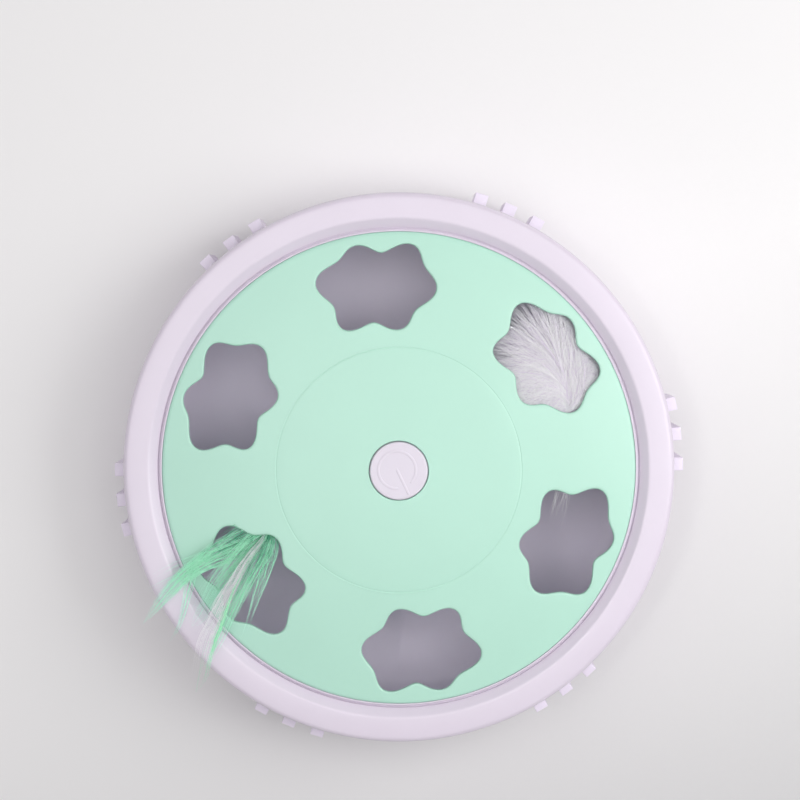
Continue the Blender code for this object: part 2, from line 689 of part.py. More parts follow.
def make_base_shell(surface):
    """Bowl with ribs, battery box, screw wells and foot recesses."""
    item = place("base_shell", closed_turned_mesh("base_shell", base_profile()), surface)
    join(item, together("ribs", [rib_mesh(turn) for turn in rib_turns()]))
    wells = around(HOLE_COUNT, CASE_SCREW_R)
    well_r = CASE_SCREW_HEAD_R + GAP
    well_mid = FOOT_PROUD + FLOOR_THICKNESS / 2
    posts = join(item, together("wells", [
        drum("well", well_r + CASE_WELL_WALL, FOOT_PROUD, LEDGE_TOP_Z - GAP, at, PIN_SEGMENTS)
        for at in wells]))
    cut(posts, outside_mesh())
    end_x = BOX_HALF_X + BOX_WALL
    end_y = BOX_HALF_Y + BOX_WALL
    join(item, block("box", (-end_x, -end_y, well_mid), (end_x, end_y, BOX_ROOF_Z + BOX_WALL)))
    side_x = DOOR_HALF_X + SURROUND_END
    side_y = DOOR_HALF_Y + SURROUND_SIDE
    notch_x = side_x + NOTCH_LENGTH
    join(item, block("surround", (-side_x, -side_y, well_mid), (notch_x, side_y, SURROUND_TOP_Z)))
    pads = [polar(HOUSING_SCREW_CIRCLE_R, math.radians(d)) for d in HOUSING_SCREW_DEGREES]
    join(item, together("pads", [
        drum("pad", PAD_R, well_mid, SURROUND_TOP_Z - GAP / 2, at, PIN_SEGMENTS)
        for at in pads]))
    below = FOOT_PROUD - OVERRUN
    cut(item, block("cells_room", (-BOX_HALF_X, -BOX_HALF_Y, below),
                    (BOX_HALF_X, BOX_HALF_Y, BOX_ROOF_Z)))
    door_x = DOOR_HALF_X + GAP
    door_y = DOOR_HALF_Y + GAP
    door_top = FOOT_PROUD + DOOR_THICKNESS + GAP
    cut(item, block("door_recess", (-door_x, -door_y, below), (door_x, door_y, door_top)))
    cut(item, block("finger_notch", (DOOR_HALF_X - GAP, -NOTCH_HALF_Y, below),
                    (DOOR_HALF_X + NOTCH_LENGTH, NOTCH_HALF_Y, FOOT_PROUD + NOTCH_DEPTH)))
    reach = door_x + DOOR_TAB_REACH + GAP
    slot_low = FOOT_PROUD + DOOR_THICKNESS - DOOR_TAB_THICKNESS - GAP / 2
    slot_high = FOOT_PROUD + math.hypot(DOOR_TAB_REACH, DOOR_THICKNESS) + GAP
    half = DOOR_TAB_WIDTH / 2 + GAP
    cut(item, together("tab_slots", [
        block("slot", (-reach, y - half, slot_low), (-BOX_HALF_X - GAP, y + half, slot_high))
        for y in (-DOOR_TAB_Y, DOOR_TAB_Y)]))
    head_room = LEDGE_TOP_Z - CASE_WELL_ROOF
    cut(item, together("well_bores", [
        drum("bore", well_r, below, head_room, at, PIN_SEGMENTS) for at in wells]))
    hole_r = CASE_SCREW_SHANK_R + PILOT_CLEARANCE
    above = LEDGE_TOP_Z + OVERRUN
    cut(item, together("well_holes", [
        drum("hole", hole_r, head_room - GAP, above, at, PIN_SEGMENTS) for at in wells]))
    sink = FOOT_PROUD + SCREW_HEAD + 2 * GAP
    cut(item, together("pad_bores", [
        drum("bore", SCREW_HEAD_R + GAP, below, sink, at, PIN_SEGMENTS) for at in pads]))
    hole_r = HOUSING_SCREW_SHANK_R + PILOT_CLEARANCE
    cut(item, together("pad_holes", [
        drum("hole", hole_r, sink - GAP, SURROUND_TOP_Z + GAP, at, PIN_SEGMENTS) for at in pads]))
    feet = around(FOOT_COUNT, FOOT_CIRCLE_R, math.pi / FOOT_COUNT)
    cut(item, together("foot_recesses", [
        drum("recess", FOOT_R + GAP, below, FOOT_PROUD + FOOT_SINK, at) for at in feet]))
    return item


def make_rim_ring(surface):
    """Inverted channel: a rounded outer corner, a flat top, an inner bevel and a narrow lip."""
    low = RIM_TOP_Z - RIM_HEIGHT
    flat_r = RIM_INNER_R + RIM_BEVEL_WIDTH
    lip_low = LEDGE_TOP_Z + GAP + FLANGE_THICKNESS + 2 * GAP
    under = RIM_TOP_Z - RIM_WALL - GAP
    centre = (RIM_OUTER_R - RIM_ROUND, RIM_TOP_Z - RIM_ROUND)
    profile = [(flat_r, RIM_TOP_Z), *arc(centre, RIM_ROUND, 90, 0, 3), (RIM_OUTER_R, low)]
    inner = RIM_ROUND - RIM_WALL
    profile += [(RIM_OUTER_R - RIM_WALL, low)]
    profile += [(RIM_OUTER_R - RIM_WALL, under - inner), (centre[0], under)]
    profile += [(flat_r + GAP, under)]
    profile += [(RIM_INNER_R + RIM_WALL, under - RIM_BEVEL_DROP / 2)]
    lip_r = COVER_EDGE_R + GAP
    foot_z = RIM_TOP_Z - RIM_BEVEL_DROP
    profile += [(RIM_INNER_R + RIM_WALL, lip_low), (lip_r, lip_low)]
    profile += [(lip_r, foot_z + RIM_LIP_RISE), (lip_r + RIM_LIP_WIDTH, foot_z + RIM_LIP_RISE)]
    profile += [(lip_r + RIM_LIP_WIDTH, foot_z - RIM_CREASE_DEPTH)]
    profile += [(RIM_INNER_R, foot_z - RIM_CREASE_DEPTH), (RIM_INNER_R, foot_z)]
    item = place("rim_ring", turned_mesh("rim_ring", profile), surface)
    wells = around(HOLE_COUNT, CASE_SCREW_R)
    boss_low = LEDGE_TOP_Z + GAP + FLANGE_THICKNESS + GAP
    join(item, together("bosses", [
        drum("boss", CASE_BOSS_R, boss_low, under + GAP, at, PIN_SEGMENTS) for at in wells]))
    hole_r = CASE_SCREW_SHANK_R + PILOT_CLEARANCE
    hole_top = boss_low + CASE_SCREW_GRIP + GAP
    cut(item, together("holes", [
        drum("hole", hole_r, boss_low - OVERRUN, hole_top, at, PIN_SEGMENTS) for at in wells]))
    return item


def cover_profile():
    """Section of the domed cover, from the button's opening out to the flange and back."""
    opening = BUTTON_R + BUTTON_GAP
    inside = [opening, (opening + DISC_R) / 2, DISC_R - GROOVE_HALF_WIDTH]
    groove_end = DISC_R + GROOVE_HALF_WIDTH
    outside = [groove_end + (DOME_R - groove_end) * i / 3 for i in range(4)]
    edge = (DOME_R, dome_z(DOME_R) - COVER_ROLL)
    flange_z = LEDGE_TOP_Z + GAP
    flange_top = flange_z + FLANGE_THICKNESS
    skirt_r = COVER_EDGE_R - COVER_THICKNESS
    profile = [(r, dome_z(r)) for r in inside]
    profile += [(DISC_R, dome_z(DISC_R) - GROOVE_DEPTH)]
    profile += [(r, dome_z(r)) for r in outside]
    profile += arc(edge, COVER_ROLL, 60, 0, 2)
    profile += [(COVER_EDGE_R, flange_top), (FLANGE_R, flange_top), (FLANGE_R, flange_z)]
    profile += [(skirt_r, flange_z), (skirt_r, edge[1])]
    under = [DOME_R - COVER_THICKNESS, (DOME_R + DISC_R) / 2, DISC_R, opening]
    profile += [(r, dome_z(r) - COVER_THICKNESS) for r in under]
    return profile


def cover_underside(radius):
    return dome_z(radius) - COVER_THICKNESS


def make_star_cover(surface):
    """Domed cover with the button's opening, six star holes and two board bosses."""
    item = place("star_cover", turned_mesh("star_cover", cover_profile()), surface)
    boss_top = cover_underside(BOARD_SCREW_X) + COVER_THICKNESS / 2
    boss_low = BOARD_TOP_Z + GAP
    sides = ((-BOARD_SCREW_X, 0), (BOARD_SCREW_X, 0))
    join(item, together("bosses", [
        drum("boss", BOARD_BOSS_R, boss_low, boss_top, at, PIN_SEGMENTS) for at in sides]))
    hole_r = BOARD_SCREW_SHANK_R + PILOT_CLEARANCE
    hole_top = boss_low + BOARD_SCREW_GRIP + GAP
    cut(item, together("boss_holes", [
        drum("hole", hole_r, boss_low - OVERRUN, hole_top, at, PIN_SEGMENTS) for at in sides]))
    flange_z = LEDGE_TOP_Z + GAP
    cut(item, together("flange_holes", [
        drum("hole", CASE_SCREW_SHANK_R + 2 * PILOT_CLEARANCE, flange_z - OVERRUN,
             flange_z + FLANGE_THICKNESS + OVERRUN / 4, at, PIN_SEGMENTS)
        for at in around(HOLE_COUNT, CASE_SCREW_R)]))
    low = dome_z(DOME_R) - COVER_THICKNESS - OVERRUN
    cut(item, together("stars", [
        prism("star", star(HOLE_CENTRE_R, HOLE_START + i * HOLE_STEP), low, DOME_TOP_Z + OVERRUN)
        for i in range(HOLE_COUNT)]))
    return item


def make_case_screws(surface):
    head_z = LEDGE_TOP_Z - CASE_WELL_ROOF - GAP - CASE_SCREW_HEAD
    tip = LEDGE_TOP_Z + 2 * GAP + FLANGE_THICKNESS + CASE_SCREW_GRIP
    for i, at in enumerate(around(HOLE_COUNT, CASE_SCREW_R)):
        name = f"case_screw_{i + 1}"
        place(name, screw_mesh(name, at, head_z, CASE_SCREW_HEAD_R, CASE_SCREW_HEAD,
                               CASE_SCREW_SHANK_R, tip), surface)


def make_feet(surface):
    """Rubber discs pressed into the recesses of the base's underside."""
    top = FOOT_PROUD + FOOT_SINK - GAP
    for i, at in enumerate(around(FOOT_COUNT, FOOT_CIRCLE_R, math.pi / FOOT_COUNT)):
        name = f"rubber_foot_{i + 1}"
        profile = [(0, top), (FOOT_R, top), (FOOT_R, FOOT_CHAMFER)]
        profile += [(FOOT_R - FOOT_CHAMFER, 0), (0, 0)]
        place(name, turned_mesh(name, profile, FEW_SEGMENTS, Matrix.Translation((*at, 0))), surface)


def make_battery_door(surface):
    """Plate that swings down round its -X edge, with two hook tabs there."""
    top = FOOT_PROUD + DOOR_THICKNESS
    item = place("battery_door", block("battery_door", (-DOOR_HALF_X, -DOOR_HALF_Y, FOOT_PROUD),
                                       (DOOR_HALF_X, DOOR_HALF_Y, top)), surface)
    half = DOOR_TAB_WIDTH / 2
    tab_low = top - DOOR_TAB_THICKNESS
    inner = -DOOR_HALF_X + DOOR_TAB_REACH
    join(item, together("tabs", [
        block("tab", (-DOOR_HALF_X - DOOR_TAB_REACH, y - half, tab_low), (inner, y + half, top))
        for y in (-DOOR_TAB_Y, DOOR_TAB_Y)]))
    at = (DOOR_HALF_X - 2 * DOOR_GRIP_R, 0)
    cut(item, drum("grip", DOOR_GRIP_R, FOOT_PROUD - OVERRUN, FOOT_PROUD + DOOR_GRIP_DEPTH, at))
    return item


def cell_frame(index):
    """Frame that lays a cell along X; every other cell points the other way."""
    y = (index - (CELL_COUNT - 1) / 2) * CELL_PITCH
    side = 1 if index % 2 == 0 else -1
    turn = Matrix.Rotation(side * math.pi / 2, 4, "Y")
    return Matrix.Translation((0, y, CELL_Z)) @ turn, side, y


def make_cells(surface):
    """AA cells, each with its raised positive end."""
    top = BOX_HALF_X - CONTACT_THICKNESS - 2 * GAP
    body_top = top - CELL_NUB
    low = body_top - CELL_LENGTH
    for i in range(CELL_COUNT):
        frame, _, _ = cell_frame(i)
        name = f"aa_cell_{i + 1}"
        profile = [(0, top), (CELL_NUB_R, top), (CELL_NUB_R, body_top), (CELL_R, body_top)]
        profile += [(CELL_R, low), (0, low)]
        place(name, turned_mesh(name, profile, FEW_SEGMENTS, frame), surface)


def helix(radius, low, high, turns):
    """Points of a coil that climbs from low to high."""
    count = int(turns * SPRING_POINTS_PER_TURN)
    points = []
    for i in range(count + 1):
        x, y = polar(radius, 2 * math.pi * i / SPRING_POINTS_PER_TURN)
        points.append(Vector((x, y, low + (high - low) * i / count)))
    return points


def make_cell_springs(surface):
    """Coil springs that press on the flat ends of the cells."""
    start = BOX_HALF_X - CONTACT_THICKNESS - 2 * GAP - SPRING_WIRE_R
    end = start - CELL_SPRING_LENGTH + 2 * SPRING_WIRE_R
    for i in range(CELL_COUNT):
        _, side, y = cell_frame(i)
        name = f"cell_spring_{i + 1}"
        turn = Matrix.Rotation(-side * math.pi / 2, 4, "Y")
        frame = Matrix.Translation((0, y, CELL_Z)) @ turn
        points = [frame @ p for p in helix(CELL_SPRING_R, start, end, CELL_SPRING_TURNS)]
        place(name, tube(name, points, SPRING_WIRE_R, 0), surface)


def make_contacts(surface):
    """Sheet-metal contacts at both ends of the box, in pairs where they link two cells."""
    low = FOOT_PROUD + DOOR_THICKNESS + 2 * CONTACT_MARGIN
    high = BOX_ROOF_Z - CONTACT_MARGIN
    half = CELL_PITCH / 2 - CONTACT_MARGIN
    outer = BOX_HALF_X - GAP
    layout = (("contact_link_left", -1, 1, 2), ("contact_end_left", -1, 0, 0),
              ("contact_link_right", 1, 0, 1), ("contact_end_right", 1, 2, 2))
    for name, side, first, last in layout:
        y_low = cell_frame(first)[2] - half
        y_high = cell_frame(last)[2] + half
        ends = sorted((side * outer, side * (outer - CONTACT_THICKNESS)))
        place(name, block(name, (ends[0], y_low, low), (ends[1], y_high, high)), surface)


def housing_profile():
    """Section of the upturned pot: lid round its opening, wall down, and back inside."""
    opening = TURNTABLE_GEAR_R + MODULE + 2 * GAP
    low = FLOOR_TOP_Z + GAP
    centre = (HOUSING_R - HOUSING_EDGE_ROUND, HOUSING_TOP_Z - HOUSING_EDGE_ROUND)
    profile = [(opening, HOUSING_TOP_Z), *arc(centre, HOUSING_EDGE_ROUND, 90, 0, 3)]
    profile += [(HOUSING_R, low), (HOUSING_R - HOUSING_WALL, low)]
    profile += [(HOUSING_R - HOUSING_WALL, LID_Z), (opening, LID_Z)]
    return profile


def gearbox_screw_places():
    return around(GEARBOX_SCREW_COUNT, GEARBOX_SCREW_CIRCLE_R)


def make_drive_housing(surface):
    """Pot with bosses for the housing screws, the gearbox screws and the gear axles."""
    item = place("drive_housing", turned_mesh("drive_housing", housing_profile(), INNER_SEGMENTS),
                 surface)
    outer = [polar(HOUSING_SCREW_CIRCLE_R, math.radians(d)) for d in HOUSING_SCREW_DEGREES]
    foot = SURROUND_TOP_Z + GAP
    join(item, together("side_bosses", [
        drum("boss", HOUSING_BOSS_R, foot, HOUSING_BOSS_TOP_Z, at, PIN_SEGMENTS)
        for at in outer]))
    lid_mid = LID_Z + LID_THICKNESS / 2
    inner_low = PLATE_TOP_Z + GAP
    join(item, together("lid_bosses", [
        drum("boss", GEARBOX_BOSS_R, inner_low, lid_mid, at, PIN_SEGMENTS)
        for at in gearbox_screw_places()]))
    hole_r = HOUSING_SCREW_SHANK_R + PILOT_CLEARANCE
    tip = FOOT_PROUD + HOUSING_SCREW_LENGTH + PILOT_ROOM
    cut(item, together("side_holes", [
        drum("hole", hole_r, foot - OVERRUN / 4, tip, at, PIN_SEGMENTS) for at in outer]))
    hole_r = GEARBOX_SCREW_SHANK_R + PILOT_CLEARANCE
    tip = inner_low + GEARBOX_SCREW_GRIP + GAP
    cut(item, together("lid_holes", [
        drum("hole", hole_r, inner_low - GAP, tip, at, PIN_SEGMENTS)
        for at in gearbox_screw_places()]))
    # The wall and its bosses have a way past the door's surround on the floor.
    side_x = DOOR_HALF_X + SURROUND_END + GAP
    side_y = DOOR_HALF_Y + SURROUND_SIDE + GAP
    notch_x = side_x + NOTCH_LENGTH
    cut(item, block("surround_room", (-side_x, -side_y, FLOOR_TOP_Z - OVERRUN),
                    (notch_x, side_y, SURROUND_TOP_Z + GAP)))
    pad_room = SURROUND_TOP_Z + GAP / 2
    cut(item, together("pad_room", [
        drum("room", PAD_R + GAP, FLOOR_TOP_Z - OVERRUN, pad_room, at, PIN_SEGMENTS)
        for at in outer]))
    axles = (drive_gear_place(), idler_gear_place())
    cut(item, together("axle_sockets", [
        drum("socket", AXLE_R + GAP, LID_Z - GAP, LID_Z + AXLE_SINK + GAP, at, PIN_SEGMENTS)
        for at in axles]))
    return item


def make_housing_screws(surface):
    tip = FOOT_PROUD + HOUSING_SCREW_LENGTH
    for i, degrees in enumerate(HOUSING_SCREW_DEGREES):
        name = f"housing_screw_{i + 1}"
        at = polar(HOUSING_SCREW_CIRCLE_R, math.radians(degrees))
        place(name, screw_mesh(name, at, FOOT_PROUD + GAP, SCREW_HEAD_R, SCREW_HEAD,
                               HOUSING_SCREW_SHANK_R, tip), surface)


def motor_screw_places():
    x, y = MOTOR_AT
    return ((x - MOTOR_SCREW_OFFSET, y), (x + MOTOR_SCREW_OFFSET, y))


def make_gear_plate(surface):
    """Disc that closes the gearbox from below, with the turntable's hollow column."""
    neck_r = COLUMN_R - CLIP_GROOVE_DEPTH
    groove_low = TABLE_TOP_Z + CLIP_LIFT
    groove_high = groove_low + CLIP_THICKNESS + 2 * GAP
    below = PLATE_Z - OVERRUN / 4
    above = PLATE_TOP_Z + OVERRUN / 4
    profile = [(0, COLUMN_TOP_Z), (COLUMN_R, COLUMN_TOP_Z), (COLUMN_R, groove_high)]
    profile += [(neck_r, groove_high), (neck_r, groove_low), (COLUMN_R, groove_low)]
    profile += [(COLUMN_R, PLATE_Z + GAP), (0, PLATE_Z + GAP)]
    plate = drum("gear_plate", PLATE_R, PLATE_Z, PLATE_TOP_Z, steps=INNER_SEGMENTS)
    item = place("gear_plate", plate, surface)
    join(item, turned_mesh("column", profile, FEW_SEGMENTS))
    cut(item, drum("column_bore", COLUMN_BORE_R, below, COLUMN_TOP_Z + OVERRUN))
    cut(item, drum("motor_hole", MOTOR_BOSS_R + GAP, below, above, MOTOR_AT))
    hole_r = MOTOR_SCREW_SHANK_R + GAP
    cut(item, together("motor_screw_holes", [
        drum("hole", hole_r, below, above, at, PIN_SEGMENTS) for at in motor_screw_places()]))
    seat = PLATE_TOP_Z - MOTOR_SCREW_HEAD - 2 * GAP
    cut(item, together("motor_screw_seats", [
        drum("seat", MOTOR_SCREW_HEAD_R + GAP, seat, above, at, PIN_SEGMENTS)
        for at in motor_screw_places()]))
    hole_r = GEARBOX_SCREW_SHANK_R + GAP
    cut(item, together("plate_holes", [
        drum("hole", hole_r, below, above, at, PIN_SEGMENTS) for at in gearbox_screw_places()]))
    axles = (drive_gear_place(), idler_gear_place())
    cut(item, together("axle_sockets", [
        drum("socket", AXLE_R + GAP, PLATE_TOP_Z - AXLE_SINK - GAP, above, at, PIN_SEGMENTS)
        for at in axles]))
    return item


def make_gearbox_screws(surface):
    head_z = PLATE_Z - GAP - GEARBOX_SCREW_HEAD
    tip = PLATE_TOP_Z + GAP + GEARBOX_SCREW_GRIP
    for i, at in enumerate(gearbox_screw_places()):
        name = f"gearbox_screw_{i + 1}"
        place(name, screw_mesh(name, at, head_z, GEARBOX_SCREW_HEAD_R, GEARBOX_SCREW_HEAD,
                               GEARBOX_SCREW_SHANK_R, tip), surface)


def make_motor(surface):
    """Can with two flat sides, its bearing boss up through the gear plate."""
    top = PLATE_Z - GAP
    low = top - MOTOR_LENGTH
    half_turn = math.degrees(math.asin(MOTOR_HALF_FLAT / MOTOR_R))
    outline = arc((0, 0), MOTOR_R, -half_turn, half_turn, 6)
    outline += arc((0, 0), MOTOR_R, 180 - half_turn, 180 + half_turn, 6)
    outline = [(x + MOTOR_AT[0], y + MOTOR_AT[1]) for x, y in outline]
    item = place("drive_motor", prism("drive_motor", outline, low, top), surface)
    boss_top = top + MOTOR_BOSS + GAP
    join(item, drum("boss", MOTOR_BOSS_R, top - MOTOR_BOSS, boss_top, MOTOR_AT))
    cut(item, drum("bore", AXLE_R + GAP, top - MOTOR_BORE_DEPTH, boss_top + GAP, MOTOR_AT,
                   PIN_SEGMENTS))
    hole_low = top - MOTOR_SCREW_DEPTH - GAP
    cut(item, together("screw_holes", [
        drum("hole", MOTOR_SCREW_SHANK_R + GAP, hole_low, top + GAP, at, PIN_SEGMENTS)
        for at in motor_screw_places()]))
    return item


def make_motor_screws(surface):
    """Countersunk screws from above, through the plate into the motor's face."""
    top = PLATE_TOP_Z - GAP / 2
    seat = top - MOTOR_SCREW_HEAD
    tip = PLATE_Z - GAP - MOTOR_SCREW_DEPTH
    for i, at in enumerate(motor_screw_places()):
        name = f"motor_screw_{i + 1}"
        profile = [(0, top), (MOTOR_SCREW_HEAD_R, top), (MOTOR_SCREW_HEAD_R, seat)]
        profile += [(MOTOR_SCREW_SHANK_R, seat), (MOTOR_SCREW_SHANK_R, tip), (0, tip)]
        place(name, turned_mesh(name, profile, PIN_SEGMENTS, Matrix.Translation((*at, 0))), surface)


def make_motor_shaft(surface):
    low = PLATE_Z - MOTOR_BORE_DEPTH
    high = SHAFT_TOP_Z - GAP
    item = place("motor_shaft", drum("motor_shaft", AXLE_R, low, high, MOTOR_AT, PIN_SEGMENTS),
                 surface)
    hinge_origin(item, (*MOTOR_AT, low))
    return item


def gear_turns():
    """Turns of the idler's wheel, the drive gear's wheel and the turntable's gear.

    Every pinion has a tooth on +X.
    """
    idler = idler_gear_place()
    drive = drive_gear_place()
    idler_wheel = meshing_turn(PINION_TEETH, 0, MOTOR_AT, WHEEL_TEETH, idler)
    drive_wheel = meshing_turn(PINION_TEETH, 0, idler, WHEEL_TEETH, drive)
    table = meshing_turn(PINION_TEETH, 0, drive, TURNTABLE_TEETH, (0, 0))
    return idler_wheel, drive_wheel, table


def make_motor_pinion(surface):
    low = LEVEL_ONE_Z - GEAR_LEVEL_GAP / 2
    high = LEVEL_ONE_Z + GEAR_FACE + GEAR_LEVEL_GAP / 2
    outline = gear_outline(PINION_TEETH, 0, MOTOR_AT)
    item = place("motor_pinion", prism("motor_pinion", outline, low, high), surface)
    cut(item, drum("bore", AXLE_R + GAP / 2, low - OVERRUN / 4, high + OVERRUN / 4, MOTOR_AT,
                   PIN_SEGMENTS))
    hinge_origin(item, (*MOTOR_AT, low))
    return item


def make_compound_gear(name, surface, at, wheel_z, wheel_turn, hub_low, hub_high):
    """Wheel with a smaller pinion above it and a hub to both sides, on one bore."""
    wheel_top = wheel_z + GEAR_FACE
    wheel = prism(name, gear_outline(WHEEL_TEETH, wheel_turn, at), wheel_z, wheel_top)
    item = place(name, wheel, surface)
    pinion_top = wheel_top + GEAR_LEVEL_GAP + GEAR_FACE + GEAR_LEVEL_GAP / 2
    join(item, prism("pinion", gear_outline(PINION_TEETH, 0, at), wheel_top - GAP,
                     pinion_top))
    join(item, drum("hub", HUB_R, hub_low, hub_high, at, PIN_SEGMENTS))
    cut(item, drum("bore", AXLE_R + GAP, hub_low - OVERRUN / 4, hub_high + OVERRUN / 4, at,
                   PIN_SEGMENTS))
    return item


def make_gears(surface):
    """Idler gear and drive gear between the motor and the turntable."""
    idler_wheel, drive_wheel, _ = gear_turns()
    low = PLATE_TOP_Z + GAP
    high = LID_Z - GAP
    make_compound_gear("idler_gear", surface, idler_gear_place(), LEVEL_ONE_Z,
                       idler_wheel, low, high)
    make_compound_gear("drive_gear", surface, drive_gear_place(), LEVEL_TWO_Z,
                       drive_wheel, low, high)


def make_axles(surface):
    low = PLATE_TOP_Z - AXLE_SINK
    high = LID_Z + AXLE_SINK
    for name, at in (("idler_axle", idler_gear_place()), ("drive_axle", drive_gear_place())):
        place(name, drum(name, AXLE_R, low, high, at, PIN_SEGMENTS), surface)


def radial_frame(turn, height):
    """Frame whose Z axis points outwards at an angle, at a height."""
    lay = Matrix.Rotation(math.pi / 2, 4, "Y")
    return Matrix.Rotation(turn, 4, "Z") @ Matrix.Translation((0, 0, height)) @ lay


def socket_floor_r():
    """Radius at which the sockets' bores end."""
    return SOCKET_END_R - (SOCKET_END_R - SOCKET_START_R) * SOCKET_DEPTH_SHARE


def make_turntable(surface):
    """Disc with its gear below and two feather sockets on top, bored for the column."""
    outline = gear_outline(TURNTABLE_TEETH, gear_turns()[2])
    gear_top = LEVEL_THREE_Z + GEAR_FACE + GEAR_LEVEL_GAP / 2
    neck_r = (TURNTABLE_GEAR_R - TOOTH_DEDENDUM_SHARE * MODULE) * TABLE_NECK_SHARE
    bore_r = COLUMN_R + GAP
    profile = [(0, TABLE_TOP_Z), (TABLE_R, TABLE_TOP_Z), (TABLE_R, TABLE_Z), (neck_r, TABLE_Z)]
    profile += [(neck_r, LEVEL_THREE_Z + GAP), (0, LEVEL_THREE_Z + GAP)]
    item = place("turntable", turned_mesh("turntable", profile, INNER_SEGMENTS), surface)
    join(item, prism("gear", outline, LEVEL_THREE_Z, gear_top))
    sockets = []
    webs = []
    bores = []
    for i in range(ARM_COUNT):
        frame = radial_frame(ARM_TURN + i * math.pi, SOCKET_Z)
        ends = [(0, SOCKET_END_R), (SOCKET_R, SOCKET_END_R), (SOCKET_R, SOCKET_START_R)]
        sockets.append(turned_mesh("socket", ends + [(0, SOCKET_START_R)], PIN_SEGMENTS, frame))
        web = block("web", (SOCKET_START_R + GAP, -SOCKET_WEB / 2, TABLE_Z + GAP),
                    (TABLE_R - 4 * GAP, SOCKET_WEB / 2, SOCKET_Z))
        web.transform(Matrix.Rotation(ARM_TURN + i * math.pi, 4, "Z"))
        webs.append(web)
        hole = [(0, SOCKET_END_R + OVERRUN), (SOCKET_BORE_R, SOCKET_END_R + OVERRUN)]
        hole += [(SOCKET_BORE_R, socket_floor_r()), (0, socket_floor_r())]
        bores.append(turned_mesh("bore", hole, PIN_SEGMENTS, frame))
    join(item, together("webs", webs))
    join(item, together("sockets", sockets))
    cut(item, together("socket_bores", bores))
    cut(item, drum("column_bore", bore_r, LEVEL_THREE_Z - OVERRUN, TABLE_TOP_Z + OVERRUN,
                   (0, 0)))
    return item


def make_turntable_clip(surface):
    """Open spring washer in the column's groove; it keeps the turntable down."""
    low = TABLE_TOP_Z + CLIP_LIFT + GAP
    inner = COLUMN_R - CLIP_GROOVE_DEPTH + GAP
    high = low + CLIP_THICKNESS
    profile = [(inner, high), (CLIP_R, high), (CLIP_R, low), (inner, low)]
    item = place("turntable_clip", turned_mesh("turntable_clip", profile, FEW_SEGMENTS), surface)
    half = inner * CLIP_MOUTH_SHARE
    cut(item, block("mouth", (-half, 0, low - OVERRUN), (half, 2 * CLIP_R, high + OVERRUN)))
    return item


def make_feather_plugs(surface):
    """Plugs pushed into the sockets; their hollow noses grip the quills."""
    spigot_r = SOCKET_BORE_R - GAP
    start = socket_floor_r() + GAP
    collar = SOCKET_END_R + GAP
    nose = collar + PLUG_COLLAR
    tip = PLUG_TIP_R
    bore = tip - PLUG_BORE_DEPTH
    collar_r = SOCKET_R * PLUG_COLLAR_SHARE
    tip_r = PLUG_NOSE_R * PLUG_TIP_SHARE
    for i, name in enumerate(("white_feather_plug", "green_feather_plug")):
        frame = radial_frame(ARM_TURN + i * math.pi, SOCKET_Z)
        profile = [(0, bore), (PLUG_BORE_R, bore), (PLUG_BORE_R, tip), (tip_r, tip)]
        profile += [(PLUG_NOSE_R, nose), (collar_r, nose), (collar_r, collar), (spigot_r, collar)]
        profile += [(spigot_r, start), (0, start)]
        place(name, turned_mesh(name, profile, PIN_SEGMENTS, frame), surface)


def button_top_z():
    return dome_z(0) + BUTTON_PROUD


def make_power_button(surface):
    """Round cup with a flange below the cover and a stem over the switch."""
    top = button_top_z()
    cap_low = top - BUTTON_CAP
    flange_top = cover_underside(BUTTON_R + BUTTON_FLANGE) - GAP
    flange_low = flange_top - BUTTON_FLANGE_THICKNESS
    inner_r = BUTTON_R - BUTTON_WALL
    stem_low = PLUNGER_TOP_Z + GAP
    profile = [(0, top), *arc((BUTTON_R - BUTTON_ROUND, top - BUTTON_ROUND), BUTTON_ROUND, 90, 0, 3)]
    profile += [(BUTTON_R, flange_top), (BUTTON_R + BUTTON_FLANGE, flange_top)]
    profile += [(BUTTON_R + BUTTON_FLANGE, flange_low), (inner_r, flange_low)]
    profile += [(inner_r, cap_low), (BUTTON_STEM_R, cap_low), (BUTTON_STEM_R, stem_low)]
    profile += [(0, stem_low)]
    return place("power_button", turned_mesh("power_button", profile, INNER_SEGMENTS), surface)


def make_button_spring(surface):
    """Return spring between the board and the button's cap."""
    low = BOARD_TOP_Z + GAP + SPRING_WIRE_R
    high = button_top_z() - BUTTON_CAP - GAP - SPRING_WIRE_R
    points = helix(BUTTON_SPRING_R, low, high, BUTTON_SPRING_TURNS)
    return place("button_spring", tube("button_spring", points, SPRING_WIRE_R, 0), surface)


def make_push_switch(surface, plunger_surface):
    """Switch body on the board, with a plunger that the button pushes down."""
    low = BOARD_TOP_Z + GAP
    top = low + SWITCH_HEIGHT
    item = place("push_switch", block("push_switch", (-SWITCH_HALF, -SWITCH_HALF, low),
                                      (SWITCH_HALF, SWITCH_HALF, top)), surface)
    well_low = low + 2 * GAP
    cut(item, drum("well", PLUNGER_R + GAP, well_low, top + OVERRUN / 4, (0, 0), PIN_SEGMENTS))
    place("switch_plunger", drum("switch_plunger", PLUNGER_R, PLUNGER_TOP_Z - PLUNGER_LENGTH,
                                 PLUNGER_TOP_Z, (0, 0), PIN_SEGMENTS), plunger_surface)


